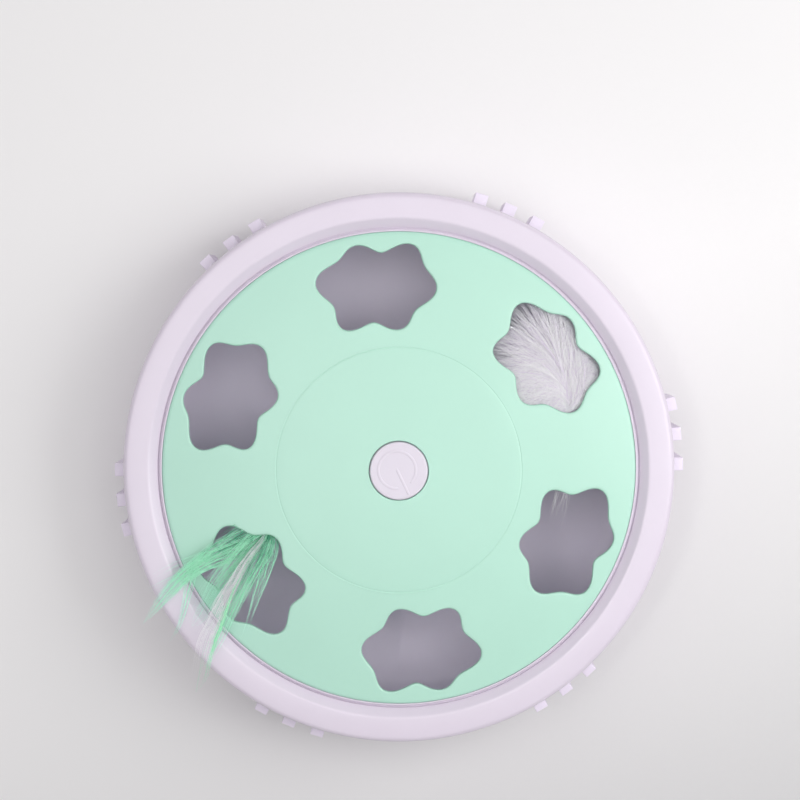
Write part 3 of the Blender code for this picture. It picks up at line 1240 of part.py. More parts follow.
def make_circuit_board(surface, screw_surface):
    """Board under the cover's middle, held by two screws from below."""
    item = place("circuit_board", block("circuit_board", (-BOARD_HALF_X, -BOARD_HALF_Y, BOARD_Z),
                                        (BOARD_HALF_X, BOARD_HALF_Y, BOARD_TOP_Z)), surface)
    sides = ((-BOARD_SCREW_X, 0), (BOARD_SCREW_X, 0))
    cut(item, together("holes", [
        drum("hole", BOARD_SCREW_SHANK_R + GAP, BOARD_Z - OVERRUN / 4, BOARD_TOP_Z + OVERRUN / 4,
             at, PIN_SEGMENTS) for at in sides]))
    head_z = BOARD_Z - GAP - BOARD_SCREW_HEAD
    tip = BOARD_TOP_Z + GAP + BOARD_SCREW_GRIP
    for i, at in enumerate(sides):
        name = f"board_screw_{i + 1}"
        place(name, screw_mesh(name, at, head_z, BOARD_SCREW_HEAD_R, BOARD_SCREW_HEAD,
                               BOARD_SCREW_SHANK_R, tip), screw_surface)


def smooth_path(route, count):
    """Points of a smooth curve through a route's own points."""
    points = [Vector(p) for p in route]
    points = [2 * points[0] - points[1], *points, 2 * points[-1] - points[-2]]
    spans = len(points) - 3
    made = []
    for i in range(count + 1):
        at = min(i * spans / count, spans - 1e-9)
        k = int(at)
        t = at - k
        a, b, c, d = points[k:k + 4]
        made.append(0.5 * (2 * b + (c - a) * t + (2 * a - 5 * b + 4 * c - d) * t**2
                           + (3 * b - a - 3 * c + d) * t**3))
    return made


def make_leads(surface):
    """Two leads up the column: one from the battery box, one from the motor."""
    roof = BOX_ROOF_Z + BOX_WALL + GAP + LEAD_R
    below = PLATE_Z - 5 * LEAD_R
    bend = below - LEAD_R
    top = BOARD_Z - GAP
    x, y = MOTOR_AT
    side_x = x - MOTOR_R - 3 * LEAD_R
    low = PLATE_Z - MOTOR_LENGTH * LEAD_START_SHARE
    rise = PLATE_Z - MOTOR_LENGTH * LEAD_RISE_SHARE
    battery = [(-BOX_HALF_X * LEAD_START_SHARE, 0, roof),
               (-BOX_HALF_X * LEAD_RISE_SHARE, 0, roof + LEAD_R),
               (-3 * LEAD_OFFSET, 0, roof + 4 * LEAD_R), (-LEAD_OFFSET, 0, below + LEAD_R),
               (-LEAD_OFFSET, 0, PLATE_TOP_Z), (-LEAD_OFFSET, 0, top)]
    motor = [(side_x, y, low), (side_x, y, rise), (side_x * LEAD_START_SHARE, y / 2, bend),
             (LEAD_OFFSET, y * LEAD_END_SHARE, bend), (LEAD_OFFSET, 0, below + 3 * LEAD_R),
             (LEAD_OFFSET, 0, PLATE_TOP_Z), (LEAD_OFFSET, 0, top)]
    place("battery_lead", tube("battery_lead", smooth_path(battery, 16), LEAD_R, 0), surface)
    place("motor_lead", tube("motor_lead", smooth_path(motor, 20), LEAD_R, 0), surface)


def section_curve(name, width_share):
    """Ellipse that a plume's outline follows, one unit wide."""
    curve = bpy.data.curves.new(name, "CURVE")
    curve.dimensions = "2D"
    spline = curve.splines.new("POLY")
    count = 6
    spline.points.add(count - 1)
    for i, point in enumerate(spline.points):
        x, y = polar(1, 2 * math.pi * i / count)
        point.co = (x, y * width_share, 0, 1)
    spline.use_cyclic_u = True
    item = bpy.data.objects.new(name, curve)
    bpy.context.scene.collection.objects.link(item)
    return item


def plume(name, surface, route, half_width, flat_share, arm, corner):
    """One feather: a thin quill in its plug that widens to a flat plume with a fine tip."""
    frame = Matrix.Rotation(ARM_TURN + arm * math.pi, 4, "Z")
    side = QUILL_SPREAD * corner[0]
    height = SOCKET_Z + QUILL_SPREAD * corner[1]
    stops = [(r, side, height) for r in (PLUG_TIP_R - PLUG_BORE_DEPTH + 2 * GAP, PLUG_TIP_R,
                                         PLUG_TIP_R + QUILL_STRAIGHT)]
    for out, across, up in route:
        stops.append((PLUG_TIP_R + out * (HOLE_CENTRE_R - PLUG_TIP_R), across * HOLE_CENTRE_R,
                      SOCKET_Z + up * (DOME_TOP_Z - SOCKET_Z)))
    points = [frame @ p for p in smooth_path(stops, 2 * (len(stops) - 1))]
    spans = len(PLUME_WIDTH_SHARES) - 1
    radii = []
    for i in range(len(points)):
        at = i / (len(points) - 1) * spans
        k = min(int(at), spans - 1)
        low, high = PLUME_WIDTH_SHARES[k:k + 2]
        radii.append(half_width * (low + (high - low) * (at - k)))
    section = section_curve(f"{name}_section", flat_share)
    mesh = tube(name, points, 1, 1, radii, section)
    bpy.data.objects.remove(section, do_unlink=True)
    return place(name, mesh, surface)


def make_feathers(green, pale, white):
    """Three green plumes and a pale one out of one hole, and a down feather below another."""
    bunch = (("green_feather_1", green, LEFT_PLUME_SHARES, (-1, -1)),
             ("green_feather_2", green, MIDDLE_PLUME_SHARES, (1, -1)),
             ("green_feather_3", green, LONG_PLUME_SHARES, (1, 1)),
             ("pale_feather", pale, PALE_PLUME_SHARES, (-1, 1)))
    for name, surface, route, corner in bunch:
        plume(name, surface, route, PLUME_HALF_WIDTH, PLUME_FLAT_SHARE, 1, corner)
    plume("white_feather", white, DOWN_PLUME_SHARES, DOWN_HALF_WIDTH, DOWN_FLAT_SHARE, 0, (0, 0))


def main():
    clear_scene()
    lilac = finish("lilac_abs", LILAC, 0.38)
    inner = finish("lilac_inner_abs", LILAC_INNER, 0.45)
    mint = finish("mint_abs", MINT, 0.34)
    steel = finish("zinc_plated_steel", (0.62, 0.62, 0.64), 0.3, 1.0)
    spring = finish("spring_steel", (0.66, 0.65, 0.62), 0.28, 1.0)
    rubber = finish("grey_rubber", (0.30, 0.29, 0.32), 0.8)
    acetal = finish("white_acetal", (0.82, 0.81, 0.78), 0.4)
    brass = finish("brass", (0.70, 0.52, 0.24), 0.3, 1.0)
    cell = finish("cell_jacket", (0.14, 0.16, 0.20), 0.35)
    board = finish("board_laminate", (0.06, 0.26, 0.12), 0.5)
    black = finish("black_plastic", (0.05, 0.05, 0.05), 0.5)
    red = finish("red_insulation", (0.55, 0.06, 0.05), 0.5)
    make_base_shell(lilac)
    make_rim_ring(lilac)
    make_star_cover(mint)
    make_case_screws(steel)
    make_feet(rubber)
    make_battery_door(lilac)
    make_cells(cell)
    make_cell_springs(spring)
    make_contacts(spring)
    make_drive_housing(inner)
    make_housing_screws(steel)
    make_gear_plate(acetal)
    make_gearbox_screws(steel)
    make_motor(steel)
    make_motor_screws(steel)
    make_motor_shaft(steel)
    make_motor_pinion(brass)
    make_gears(acetal)
    make_axles(steel)
    make_turntable(inner)
    make_turntable_clip(spring)
    make_feather_plugs(acetal)
    make_power_button(lilac)
    make_button_spring(spring)
    make_push_switch(black, acetal)
    make_circuit_board(board, steel)
    make_leads(red)
    make_feathers(finish("green_plume", (0.10, 0.62, 0.36), 0.7),
                  finish("pale_plume", (0.72, 0.70, 0.72), 0.8),
                  finish("white_down", (0.84, 0.83, 0.86), 0.8))
    bpy.context.view_layer.update()


main()
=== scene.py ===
"""Electric feather cat toy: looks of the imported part, lying face up on its rubber feet."""
import json
import math

import bmesh
import bpy
import numpy as np
from mathutils import Matrix, Vector

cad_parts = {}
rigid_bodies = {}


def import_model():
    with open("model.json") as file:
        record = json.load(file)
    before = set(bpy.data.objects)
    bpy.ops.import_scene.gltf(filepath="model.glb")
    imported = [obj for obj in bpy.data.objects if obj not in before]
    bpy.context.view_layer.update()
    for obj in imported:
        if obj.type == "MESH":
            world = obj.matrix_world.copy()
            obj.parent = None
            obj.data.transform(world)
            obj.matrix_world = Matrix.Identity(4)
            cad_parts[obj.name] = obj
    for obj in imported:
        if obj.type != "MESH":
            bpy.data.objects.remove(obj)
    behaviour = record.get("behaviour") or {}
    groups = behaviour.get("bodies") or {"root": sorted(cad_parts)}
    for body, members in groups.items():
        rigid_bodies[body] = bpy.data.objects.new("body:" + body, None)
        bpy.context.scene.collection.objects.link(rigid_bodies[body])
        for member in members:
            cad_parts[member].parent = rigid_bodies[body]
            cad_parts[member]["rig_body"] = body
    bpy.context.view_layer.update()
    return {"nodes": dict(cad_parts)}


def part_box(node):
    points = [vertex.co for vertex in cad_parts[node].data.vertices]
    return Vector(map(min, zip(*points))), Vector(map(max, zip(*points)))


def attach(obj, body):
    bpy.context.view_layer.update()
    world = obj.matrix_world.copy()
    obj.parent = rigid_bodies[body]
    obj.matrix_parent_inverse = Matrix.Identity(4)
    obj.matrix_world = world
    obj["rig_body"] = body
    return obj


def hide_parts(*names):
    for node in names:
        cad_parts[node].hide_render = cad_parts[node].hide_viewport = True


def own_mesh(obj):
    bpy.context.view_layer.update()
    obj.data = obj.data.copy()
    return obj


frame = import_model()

CAD = frame["nodes"]


# Base shell: one deep lilac ABS moulding. It holds the battery box, the screw wells and the feet.
# Six groups of three solid grip ribs stand on its wall, moulded in one with it.
# The base's lilac ABS is made lighter than the rim's: painted light for its inside seen through the
# holes.
BASE_LILAC_LIGHTENED = (0.86, 0.785, 0.91)
RIB_FROM_R = 0.1092
RIB_EDGES_FROM_R = 0.1120
RIB_ROUND = 0.0009
RIB_EDGE_OVER = math.radians(50)
FLAT_UNDER = math.radians(1)
SMOOTH_UNDER = math.radians(32)
WELD = 1e-6
GRAIN_ROUGHNESS = 0.05


def link(tree, source, target):
    """Joins one socket to another, each given as (node, name)."""
    tree.links.new(source[0].outputs[source[1]], target[0].inputs[target[1]])


def moulded(name, colour, roughness, shade=0.04, grain=0.03, coat=0.0):
    """Moulded plastic: slow flow marks in its colour, and a fine spark-eroded grain.

    A slow noise carries the colour from (1 - shade) of its tone to the full tone. A fine noise
    moves the roughness either way and gives the height, scaled by grain.
    """
    material = bpy.data.materials.new(name)
    material.use_nodes = True
    tree = material.node_tree
    shader = tree.nodes["Principled BSDF"]
    shader.inputs["Coat Weight"].default_value = coat
    shader.inputs["Coat Roughness"].default_value = 0.25
    shader.inputs["Specular IOR Level"].default_value = 0.45
    place = tree.nodes.new("ShaderNodeTexCoord")
    flow = tree.nodes.new("ShaderNodeTexNoise")
    flow.inputs["Scale"].default_value = 38
    flow.inputs["Detail"].default_value = 3
    tint = tree.nodes.new("ShaderNodeValToRGB")
    tint.color_ramp.elements[0].position = 0.3
    tint.color_ramp.elements[1].position = 0.7
    tint.color_ramp.elements[0].color = (*[c * (1 - shade) for c in colour], 1)
    tint.color_ramp.elements[1].color = (*colour, 1)
    fine = tree.nodes.new("ShaderNodeTexNoise")
    fine.inputs["Scale"].default_value = 900
    fine.inputs["Detail"].default_value = 4
    rough = tree.nodes.new("ShaderNodeMapRange")
    rough.inputs["To Min"].default_value = roughness - GRAIN_ROUGHNESS
    rough.inputs["To Max"].default_value = roughness + GRAIN_ROUGHNESS
    bump = tree.nodes.new("ShaderNodeBump")
    bump.inputs["Strength"].default_value = grain
    bump.inputs["Distance"].default_value = 0.0004
    for noise in (flow, fine):
        link(tree, (place, "Object"), (noise, "Vector"))
    link(tree, (flow, "Fac"), (tint, "Fac"))
    link(tree, (tint, "Color"), (shader, "Base Color"))
    link(tree, (fine, "Fac"), (rough, "Value"))
    link(tree, (rough, "Result"), (shader, "Roughness"))
    link(tree, (fine, "Fac"), (bump, "Height"))
    link(tree, (bump, "Normal"), (shader, "Normal"))
    return material


def finished(name, mesh, body, material, slot, *replaced):
    """Makes a mesh a piece of the toy: smooth but for its real edges, riding on its body."""
    mesh.shade_smooth()
    mesh.set_sharp_from_angle(angle=SMOOTH_UNDER)
    mesh.materials.clear()
    mesh.materials.append(material)
    piece = bpy.data.objects.new(name, mesh)
    bpy.context.scene.collection.objects.link(piece)
    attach(piece, body)
    if replaced:
        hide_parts(*replaced)
    return piece


def welded(mesh, distance, outward=False):
    """Merges points that lie together, and turns the faces outwards where that is asked for."""
    work = bmesh.new()
    work.from_mesh(mesh)
    bmesh.ops.remove_doubles(work, verts=work.verts, dist=distance)
    if outward:
        bmesh.ops.recalc_face_normals(work, faces=work.faces)
    work.to_mesh(mesh)
    work.free()
    return mesh


def eased_ribs(mesh):
    """Rounds the ribs' long edges: every sharp convex edge that stands off the wall."""
    work = bmesh.new()
    work.from_mesh(mesh)
    flat = [e for e in work.edges if min(v.co.xy.length for v in e.verts) > RIB_FROM_R]
    bmesh.ops.dissolve_limit(work, angle_limit=FLAT_UNDER, verts=work.verts, edges=flat)
    edges = [e for e in work.edges
             if e.is_manifold and (e.verts[0].co + e.verts[1].co).xy.length > 2 * RIB_EDGES_FROM_R
             and e.calc_face_angle_signed() > RIB_EDGE_OVER]
    bmesh.ops.bevel(work, geom=edges, offset=RIB_ROUND, segments=4, profile=0.5, affect="EDGES",
                    clamp_overlap=True)
    work.to_mesh(mesh)
    work.free()
    return mesh


base_lilac_lightened = moulded("base_lilac_lightened_abs", BASE_LILAC_LIGHTENED, 0.42, grain=0.05)
base_mesh = eased_ribs(welded(CAD["base_shell"].data.copy(), WELD))
finished("base_shell_finish", base_mesh, "housing", base_lilac_lightened, "lilac_abs", "base_shell")


# Feet: four soft grey rubber discs, moulded, and pressed into shallow recesses in the base's
# underside, so that the toy doesn't slide.
FEET = 4
FOOT_GREY = (0.30, 0.29, 0.32)


def refined(node, material, slot):
    """A CAD node's own solid with its points merged, so that its round sides shade smoothly."""
    mesh = welded(CAD[node].data.copy(), WELD)
    return finished(f"{node}_finish", mesh, CAD[node]["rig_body"], material, slot, node)


foot_rubber = moulded("foot_rubber", FOOT_GREY, 0.75, shade=0.12, grain=0.2)
for number in range(1, FEET + 1):
    refined(f"rubber_foot_{number}", foot_rubber, "grey_rubber")


# Works: three AA cells in the base, a can motor with acetal gears on steel axles, plated screws
# and springs, and a printed board below the cover's middle. Of these only the lilac ABS housing
# and turntable show through the holes. Each piece keeps its solid, with its own finish.
def metal(name, colour, roughness, scratch=0.12):
    """Plated or drawn metal: fine drawing lines in its roughness, and a slight tone in it."""
    material = bpy.data.materials.new(name)
    material.use_nodes = True
    tree = material.node_tree
    shader = tree.nodes["Principled BSDF"]
    shader.inputs["Metallic"].default_value = 1
    place = tree.nodes.new("ShaderNodeTexCoord")
    stretch = tree.nodes.new("ShaderNodeMapping")
    stretch.inputs["Scale"].default_value = (300, 300, 4000)
    lines = tree.nodes.new("ShaderNodeTexNoise")
    lines.inputs["Scale"].default_value = 1
    lines.inputs["Detail"].default_value = 3
    tint = tree.nodes.new("ShaderNodeValToRGB")
    tint.color_ramp.elements[0].color = (*[c * (1 - scratch) for c in colour], 1)
    tint.color_ramp.elements[1].color = (*colour, 1)
    rough = tree.nodes.new("ShaderNodeMapRange")
    rough.inputs["To Min"].default_value = roughness - scratch / 2
    rough.inputs["To Max"].default_value = roughness + scratch / 2
    link(tree, (place, "Object"), (stretch, "Vector"))
    link(tree, (stretch, "Vector"), (lines, "Vector"))
    link(tree, (lines, "Fac"), (tint, "Fac"))
    link(tree, (lines, "Fac"), (rough, "Value"))
    link(tree, (tint, "Color"), (shader, "Base Color"))
    link(tree, (rough, "Result"), (shader, "Roughness"))
    return material


zinc = metal("zinc_plate", (0.62, 0.62, 0.64), 0.35)
spring_steel = metal("nickel_spring_steel", (0.66, 0.65, 0.62), 0.28)
can = metal("motor_can_steel", (0.62, 0.62, 0.64), 0.3)
brass = metal("turned_brass", (0.70, 0.52, 0.24), 0.3)
# The housing and turntable lilac is made lighter than the base's: painted light for the inside seen
# through the holes.
lightened_inner_lilac = moulded("inner_lilac_lightened_abs", (0.89, 0.81, 0.96), 0.42, grain=0.05)
acetal = moulded("white_acetal", (0.82, 0.81, 0.78), 0.38)
jacket = moulded("cell_jacket", (0.14, 0.16, 0.20), 0.3, coat=0.3)
laminate = moulded("board_laminate", (0.06, 0.26, 0.12), 0.4, coat=0.2)
black = moulded("black_nylon", (0.05, 0.05, 0.05), 0.5, shade=0.2)
insulation = moulded("red_vinyl", (0.55, 0.06, 0.05), 0.45)
WORKS = (
    (zinc, "zinc_plated_steel", ("case_screw_{}", 6), ("housing_screw_{}", 3),
     ("gearbox_screw_{}", 3), ("motor_screw_{}", 2), ("board_screw_{}", 2)),
    (spring_steel, "spring_steel", ("cell_spring_{}", 3), ("contact_end_left", 1),
     ("contact_end_right", 1), ("contact_link_left", 1), ("contact_link_right", 1),
     ("idler_axle", 1), ("drive_axle", 1), ("motor_shaft", 1), ("turntable_clip", 1),
     ("button_spring", 1)),
    (can, "motor_can", ("drive_motor", 1)),
    (brass, "pinion_brass", ("motor_pinion", 1)),
    (lightened_inner_lilac, "lilac_inner_abs", ("drive_housing", 1), ("turntable", 1)),
    (base_lilac_lightened, "lilac_abs", ("battery_door", 1)),
    (acetal, "white_acetal", ("gear_plate", 1), ("idler_gear", 1), ("drive_gear", 1),
     ("white_feather_plug", 1), ("green_feather_plug", 1), ("switch_plunger", 1)),
    (jacket, "cell_jacket", ("aa_cell_{}", 3)),
    (laminate, "board_laminate", ("circuit_board", 1)),
    (black, "black_plastic", ("push_switch", 1), ("battery_lead", 1)),
    (insulation, "red_insulation", ("motor_lead", 1)),
)
works = {}
for material, slot, *groups in WORKS:
    for pattern, count in groups:
        for number in range(1, count + 1):
            node = pattern.format(number)
            works[node] = refined(node, material, slot)
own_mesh(works["button_spring"])


# Feathers: three dyed plumes and a pale one in one plug, and an undyed down feather in the other.
# Each is a fine shaft with hundreds of free barbs. A plume's lie along it in loose, pointed locks,
# and the down's open out from it below the cover.
PLUG_ARM = {"green": math.radians(192), "white": math.radians(12)}
PLUG_END = (54.0, 0.0, 50.7)
BARB_POINTS = 22
BARB_SIDES = 3
BARB_FLAT = 0.2
SHAFT_R = 0.22
SHAFT_NARROWS = 0.85
SHAFT_POINTS = 40
ROUTE_POINTS = 240
NEARLY_UP = (0.13, 0.21, 0.97)
LIGHT_THROUGH = 0.3
# Strands of a lock: how they crowd at its root, their least run, how far they wander sideways,
# how fast they swell from what share of their thickness, how they end, and how they vary.
ROOT_CROWDING = 1.6
LEAST_RUN = 0.08
WANDER = 0.35
WANDER_FROM = 0.4
SWELL_FROM, SWELL_RATE = 0.3, 8
TIP_RATE, TIP_LEAST = 3, 0.08
STRAND_SIZES = (0.6, 1.35)
STRAND_DYES = 0.12
# Barbs of a fan: where on the shaft they start, how far they leave along it, their wave in
# millimetres, and how they vary.
FAN_ROOTS = (0.35, 1)
FAN_LEAVES = (0.3, 1.2)
FAN_WAVE = 0.4
FAN_TIP_LEAST = 0.1
FAN_SIZES = (0.6, 1.4)
FAN_DYES = 0.2
# The space below the cover, where down stays: its underside's top, its curve and its skirt.
UNDERSIDE_Z = 57.2
UNDERSIDE_SPHERE_R = 562.0
DOWN_LIMIT = 96.2
MM = 0.001


def smooth_route(stops, count):
    """Points of a curve through the stops: a Catmull-Rom cubic from each stop to the next."""
    stops = np.array(stops)
    padded = np.vstack([2 * stops[0] - stops[1], stops, 2 * stops[-1] - stops[-2]])
    at = np.linspace(0, len(stops) - 1, count)
    span = np.minimum(at.astype(int), len(stops) - 2)
    t = (at - span)[:, None]
    a, b, c, d = (padded[span + k] for k in range(4))
    return (2 * b + (c - a) * t + (2 * a - 5 * b + 4 * c - d) * t**2
            + (3 * b - 3 * c + d - a) * t**3) / 2


def grid_faces(rows, columns, closed_rows=False, closed_columns=True):
    """Quads between neighbours of points numbered row by row, closed round where asked."""
    i, j = np.meshgrid(np.arange(rows - (not closed_rows)),
                       np.arange(columns - (not closed_columns)), indexing="ij")
    i, j = i.ravel(), j.ravel()
    down, along = (i + 1) % rows, (j + 1) % columns
    return np.stack([i * columns + j, i * columns + along,
                     down * columns + along, down * columns + j], axis=1)


def tapered(centres, radii):
    """Fine flattened tubes along many centre lines at once.

    Centres has the shape (strands, points, 3) and radii (strands, points). Each ring lies across
    its strand: centre + radius * (sin a * side + flat * cos a * lift), with lift nearly upwards.
    """
    along = np.gradient(centres, axis=1)
    along /= np.linalg.norm(along, axis=2, keepdims=True) + 1e-12
    side = np.cross(along, NEARLY_UP)
    side /= np.linalg.norm(side, axis=2, keepdims=True)
    lift = np.cross(side, along)
    angle = 2 * math.pi * np.arange(BARB_SIDES) / BARB_SIDES
    ring = (np.sin(angle)[:, None] * side[:, :, None]
            + BARB_FLAT * np.cos(angle)[:, None] * lift[:, :, None])
    points = centres[:, :, None] + radii[:, :, None, None] * ring
    strands, steps = centres.shape[:2]
    faces = grid_faces(steps, BARB_SIDES)
    start = steps * BARB_SIDES * np.arange(strands)
    return points, (faces[None] + start[:, None, None]).reshape(-1, 4)


def frame_along(line, t):
    """Points of a line at shares t of its length, with the directions ahead and to its left."""
    step = np.concatenate([[0], np.cumsum(np.linalg.norm(np.diff(line, axis=0), axis=1))])
    share = step / step[-1]
    centre = np.stack([np.interp(t, share, line[:, k]) for k in range(3)], axis=-1)
    slope = np.gradient(line, axis=0)
    ahead = np.stack([np.interp(t, share, slope[:, k]) for k in range(3)], axis=-1)
    ahead /= np.linalg.norm(ahead, axis=-1, keepdims=True)
    left = np.cross((0, 0, 1), ahead)
    return centre, ahead, left / np.linalg.norm(left, axis=-1, keepdims=True)


def lock(stops, half_widths, count, seed, reach=(0.45, 1.0), early=0.3, layer=0.35, thick=0.062,
         sway=0.14, lanes=(-1, 1), dye=(0, 1)):
    """Loose strands of one lock, in millimetres, as (centres, radii, dye).

    A strand runs between two random shares of the lock's middle line. At share t it lies beside
    that line by lane * half width(t), with a slow sine wave, and above it by a random height. Its
    radius is thick times a random share, swelling soon after the root and narrowing over the last
    third. Its dye is dye[0] + dye[1] * t with a small random part of its own.
    """
    random = np.random.default_rng(seed)
    line = smooth_route((PLUG_END, *stops), ROUTE_POINTS)
    u = np.linspace(0, 1, BARB_POINTS)[None]
    start = early * random.random((count, 1))**ROOT_CROWDING
    end = np.maximum(random.uniform(*reach, (count, 1)), start + LEAST_RUN)
    t = start + (end - start) * u
    centre, ahead, left = frame_along(line, t)
    half = np.interp(t, *half_widths)
    lane = random.uniform(*lanes, (count, 1))
    lane = lane + WANDER * random.normal(0, 1, (count, 1)) * (u - WANDER_FROM)
    swing = np.sin(2 * math.pi * (random.uniform(0.5, 1.5, (count, 1)) * u
                                  + random.uniform(0, 1, (count, 1))))
    centre = centre + ((lane + sway * swing) * half)[..., None] * left
    rise = layer * random.uniform(-1, 1, (count, 1)) * np.minimum(half, 2) * (1 - lane**2 / 2) / 2
    centre[..., 2] += rise
    taper = np.clip(np.minimum(SWELL_FROM + SWELL_RATE * u, TIP_RATE * (1 - u)), TIP_LEAST, 1)
    radii = thick * random.uniform(*STRAND_SIZES, (count, 1)) * taper
    return centre, radii, dye[0] + dye[1] * t + STRAND_DYES * random.normal(0, 1, (count, 1))


def fan(stops, middle, count, seed, turns, ways, bend=0.4, depth=2.6, thick=0.075, dye=0.5):
    """Down barbs that open out from a short shaft, in millimetres, as (centres, radii, dye).

    From the shaft's point S a barb curves to the point E at a random turn and way about the
    fan's middle: (1 - u)^2 S + 2 u (1 - u) C + u^2 E, with C = S + bend * |E - S| * ahead, and a
    slow sine wave across it. E lies within the cover's skirt, up to a depth below its underside.
    """
    random = np.random.default_rng(seed)
    u = np.linspace(0, 1, BARB_POINTS)[None, :, None]
    root = random.uniform(*FAN_ROOTS, (count, 1))
    start, ahead, _ = frame_along(smooth_route((PLUG_END, *stops), ROUTE_POINTS), root)
    turn = np.radians(random.uniform(*turns, (count, 1)))
    way = random.uniform(*ways, (count, 1))
    x, y = middle[0] + way * np.cos(turn), middle[1] + way * np.sin(turn)
    inside = np.minimum(1, DOWN_LIMIT / np.hypot(x, y))
    x, y = x * inside, y * inside
    ceiling = UNDERSIDE_Z - (x**2 + y**2) / (2 * UNDERSIDE_SPHERE_R)
    end = np.stack([x, y, ceiling - depth * random.random((count, 1))], axis=-1)
    span = np.linalg.norm(end - start, axis=-1, keepdims=True)
    control = start + bend * random.uniform(*FAN_LEAVES, (count, 1, 1)) * span * ahead
    centre = (1 - u)**2 * start + 2 * u * (1 - u) * control + u**2 * end
    across = np.cross((0, 0, 1), end - start)
    across /= np.linalg.norm(across, axis=-1, keepdims=True)
    wave = FAN_WAVE * np.sin(2 * math.pi * (random.uniform(1, 3, (count, 1, 1)) * u
                                            + random.uniform(0, 1, (count, 1, 1))))
    centre = centre + wave * u * across
    taper = np.clip(TIP_RATE * (1 - u[..., 0]), FAN_TIP_LEAST, 1)
    radii = thick * random.uniform(*FAN_SIZES, (count, 1)) * taper
    dyes = dye + FAN_DYES * random.normal(0, 1, (count, 1))
    return centre, radii, np.broadcast_to(dyes, radii.shape)


def feather(name, shaft_stops, arm, material, slot, replaced, groups):
    """One feather from its shaft and its groups of barbs, turned to its plug's arm."""
    shaft = smooth_route((PLUG_END, *shaft_stops), SHAFT_POINTS)[None]
    share = np.linspace(0, 1, SHAFT_POINTS)[None]
    groups = [(shaft, SHAFT_R * (1 - SHAFT_NARROWS * share), share), *groups]
    parts, dyes = [], []
    for centres, radii, dye in groups:
        points, faces = tapered(centres, radii)
        parts.append((points.reshape(-1, 3), faces))
        dyes.append(np.repeat(dye.ravel(), BARB_SIDES))
    start = np.cumsum([0] + [len(points) for points, _ in parts])
    points = MM * np.concatenate([points for points, _ in parts])
    faces = np.concatenate([faces + at for (_, faces), at in zip(parts, start)])
    turn = Matrix.Rotation(arm, 3, "Z")
    mesh = bpy.data.meshes.new(name)
    mesh.from_pydata(points @ np.array(turn).T, [], faces)
    attribute = mesh.attributes.new("dye", "FLOAT", "POINT")
    attribute.data.foreach_set("value", np.concatenate(dyes).astype(np.float32))
    return finished(name, mesh, "turntable", material, slot, replaced)


def dyed(name, colours, roughness, uneven, sheen=0.3):
    """Feather keratin: colours from root to tip by the dye attribute, with a streaky unevenness.

    Some of the light goes through a barb and leaves it on the far side in the same colour.
    """
    material = bpy.data.materials.new(name)
    material.use_nodes = True
    tree = material.node_tree
    shader = tree.nodes["Principled BSDF"]
    shader.inputs["Roughness"].default_value = roughness
    shader.inputs["Sheen Weight"].default_value = sheen
    shader.inputs["Sheen Roughness"].default_value = 0.4
    along = tree.nodes.new("ShaderNodeAttribute")
    along.attribute_name = "dye"
    place = tree.nodes.new("ShaderNodeTexCoord")
    streak = tree.nodes.new("ShaderNodeTexNoise")
    streak.inputs["Scale"].default_value = 260
    streak.inputs["Detail"].default_value = 2
    centred = tree.nodes.new("ShaderNodeMath")
    centred.operation = "SUBTRACT"
    centred.inputs[1].default_value = 0.5
    shift = tree.nodes.new("ShaderNodeMath")
    shift.operation = "MULTIPLY_ADD"
    shift.inputs[1].default_value = uneven
    tint = tree.nodes.new("ShaderNodeValToRGB")
    ramp = tint.color_ramp.elements
    while len(ramp) < len(colours):
        ramp.new(0.5)
    for element, (position, colour) in zip(ramp, colours):
        element.position = position
        element.color = (*colour, 1)
    link(tree, (place, "Object"), (streak, "Vector"))
    link(tree, (streak, "Fac"), (centred, 0))
    link(tree, (centred, "Value"), (shift, 0))
    link(tree, (along, "Fac"), (shift, 2))
    through = tree.nodes.new("ShaderNodeBsdfTranslucent")
    mixed = tree.nodes.new("ShaderNodeMixShader")
    mixed.inputs["Fac"].default_value = LIGHT_THROUGH
    link(tree, (shift, "Value"), (tint, "Fac"))
    link(tree, (tint, "Color"), (shader, "Base Color"))
    link(tree, (tint, "Color"), (through, "Color"))
    link(tree, (shader, "BSDF"), (mixed, 1))
    link(tree, (through, "BSDF"), (mixed, 2))
    link(tree, (mixed, "Shader"), (tree.nodes["Material Output"], "Surface"))
    return material


# Green dye along the plumes. The darkest greens at the root are painted shade, where the locks
# crowd at the hole.
green_dye_and_root_shade = dyed("green_dye_and_root_shade", (
    (0.04, (0.05, 0.36, 0.19)), (0.22, (0.15, 0.58, 0.38)), (0.38, (0.46, 0.94, 0.70)),
    (0.62, (0.60, 1.0, 0.80)), (1.0, (0.66, 1.0, 0.87))), 0.5, 0.4)
grey_hackle = dyed("grey_hackle", (
    (0.0, (0.10, 0.45, 0.27)), (0.10, (0.27, 0.55, 0.43)), (0.22, (0.60, 0.73, 0.68)),
    (0.36, (0.92, 0.91, 0.94)), (0.85, (1.0, 0.98, 1.0)), (0.95, (0.38, 0.98, 0.62)),
    (1.0, (0.38, 0.98, 0.62))), 0.5, 0.1)
# Undyed white down. The lilac grey at the ramp's low end is painted shade and lilac reflection from
# the base's inside.
white_down = dyed("undyed_down_and_painted_lilac", (
    (0.0, (0.88, 0.82, 0.92)), (0.4, (0.98, 0.97, 0.99)), (1.0, (1.0, 1.0, 1.0))), 0.55, 0.3,
    sheen=0.6)
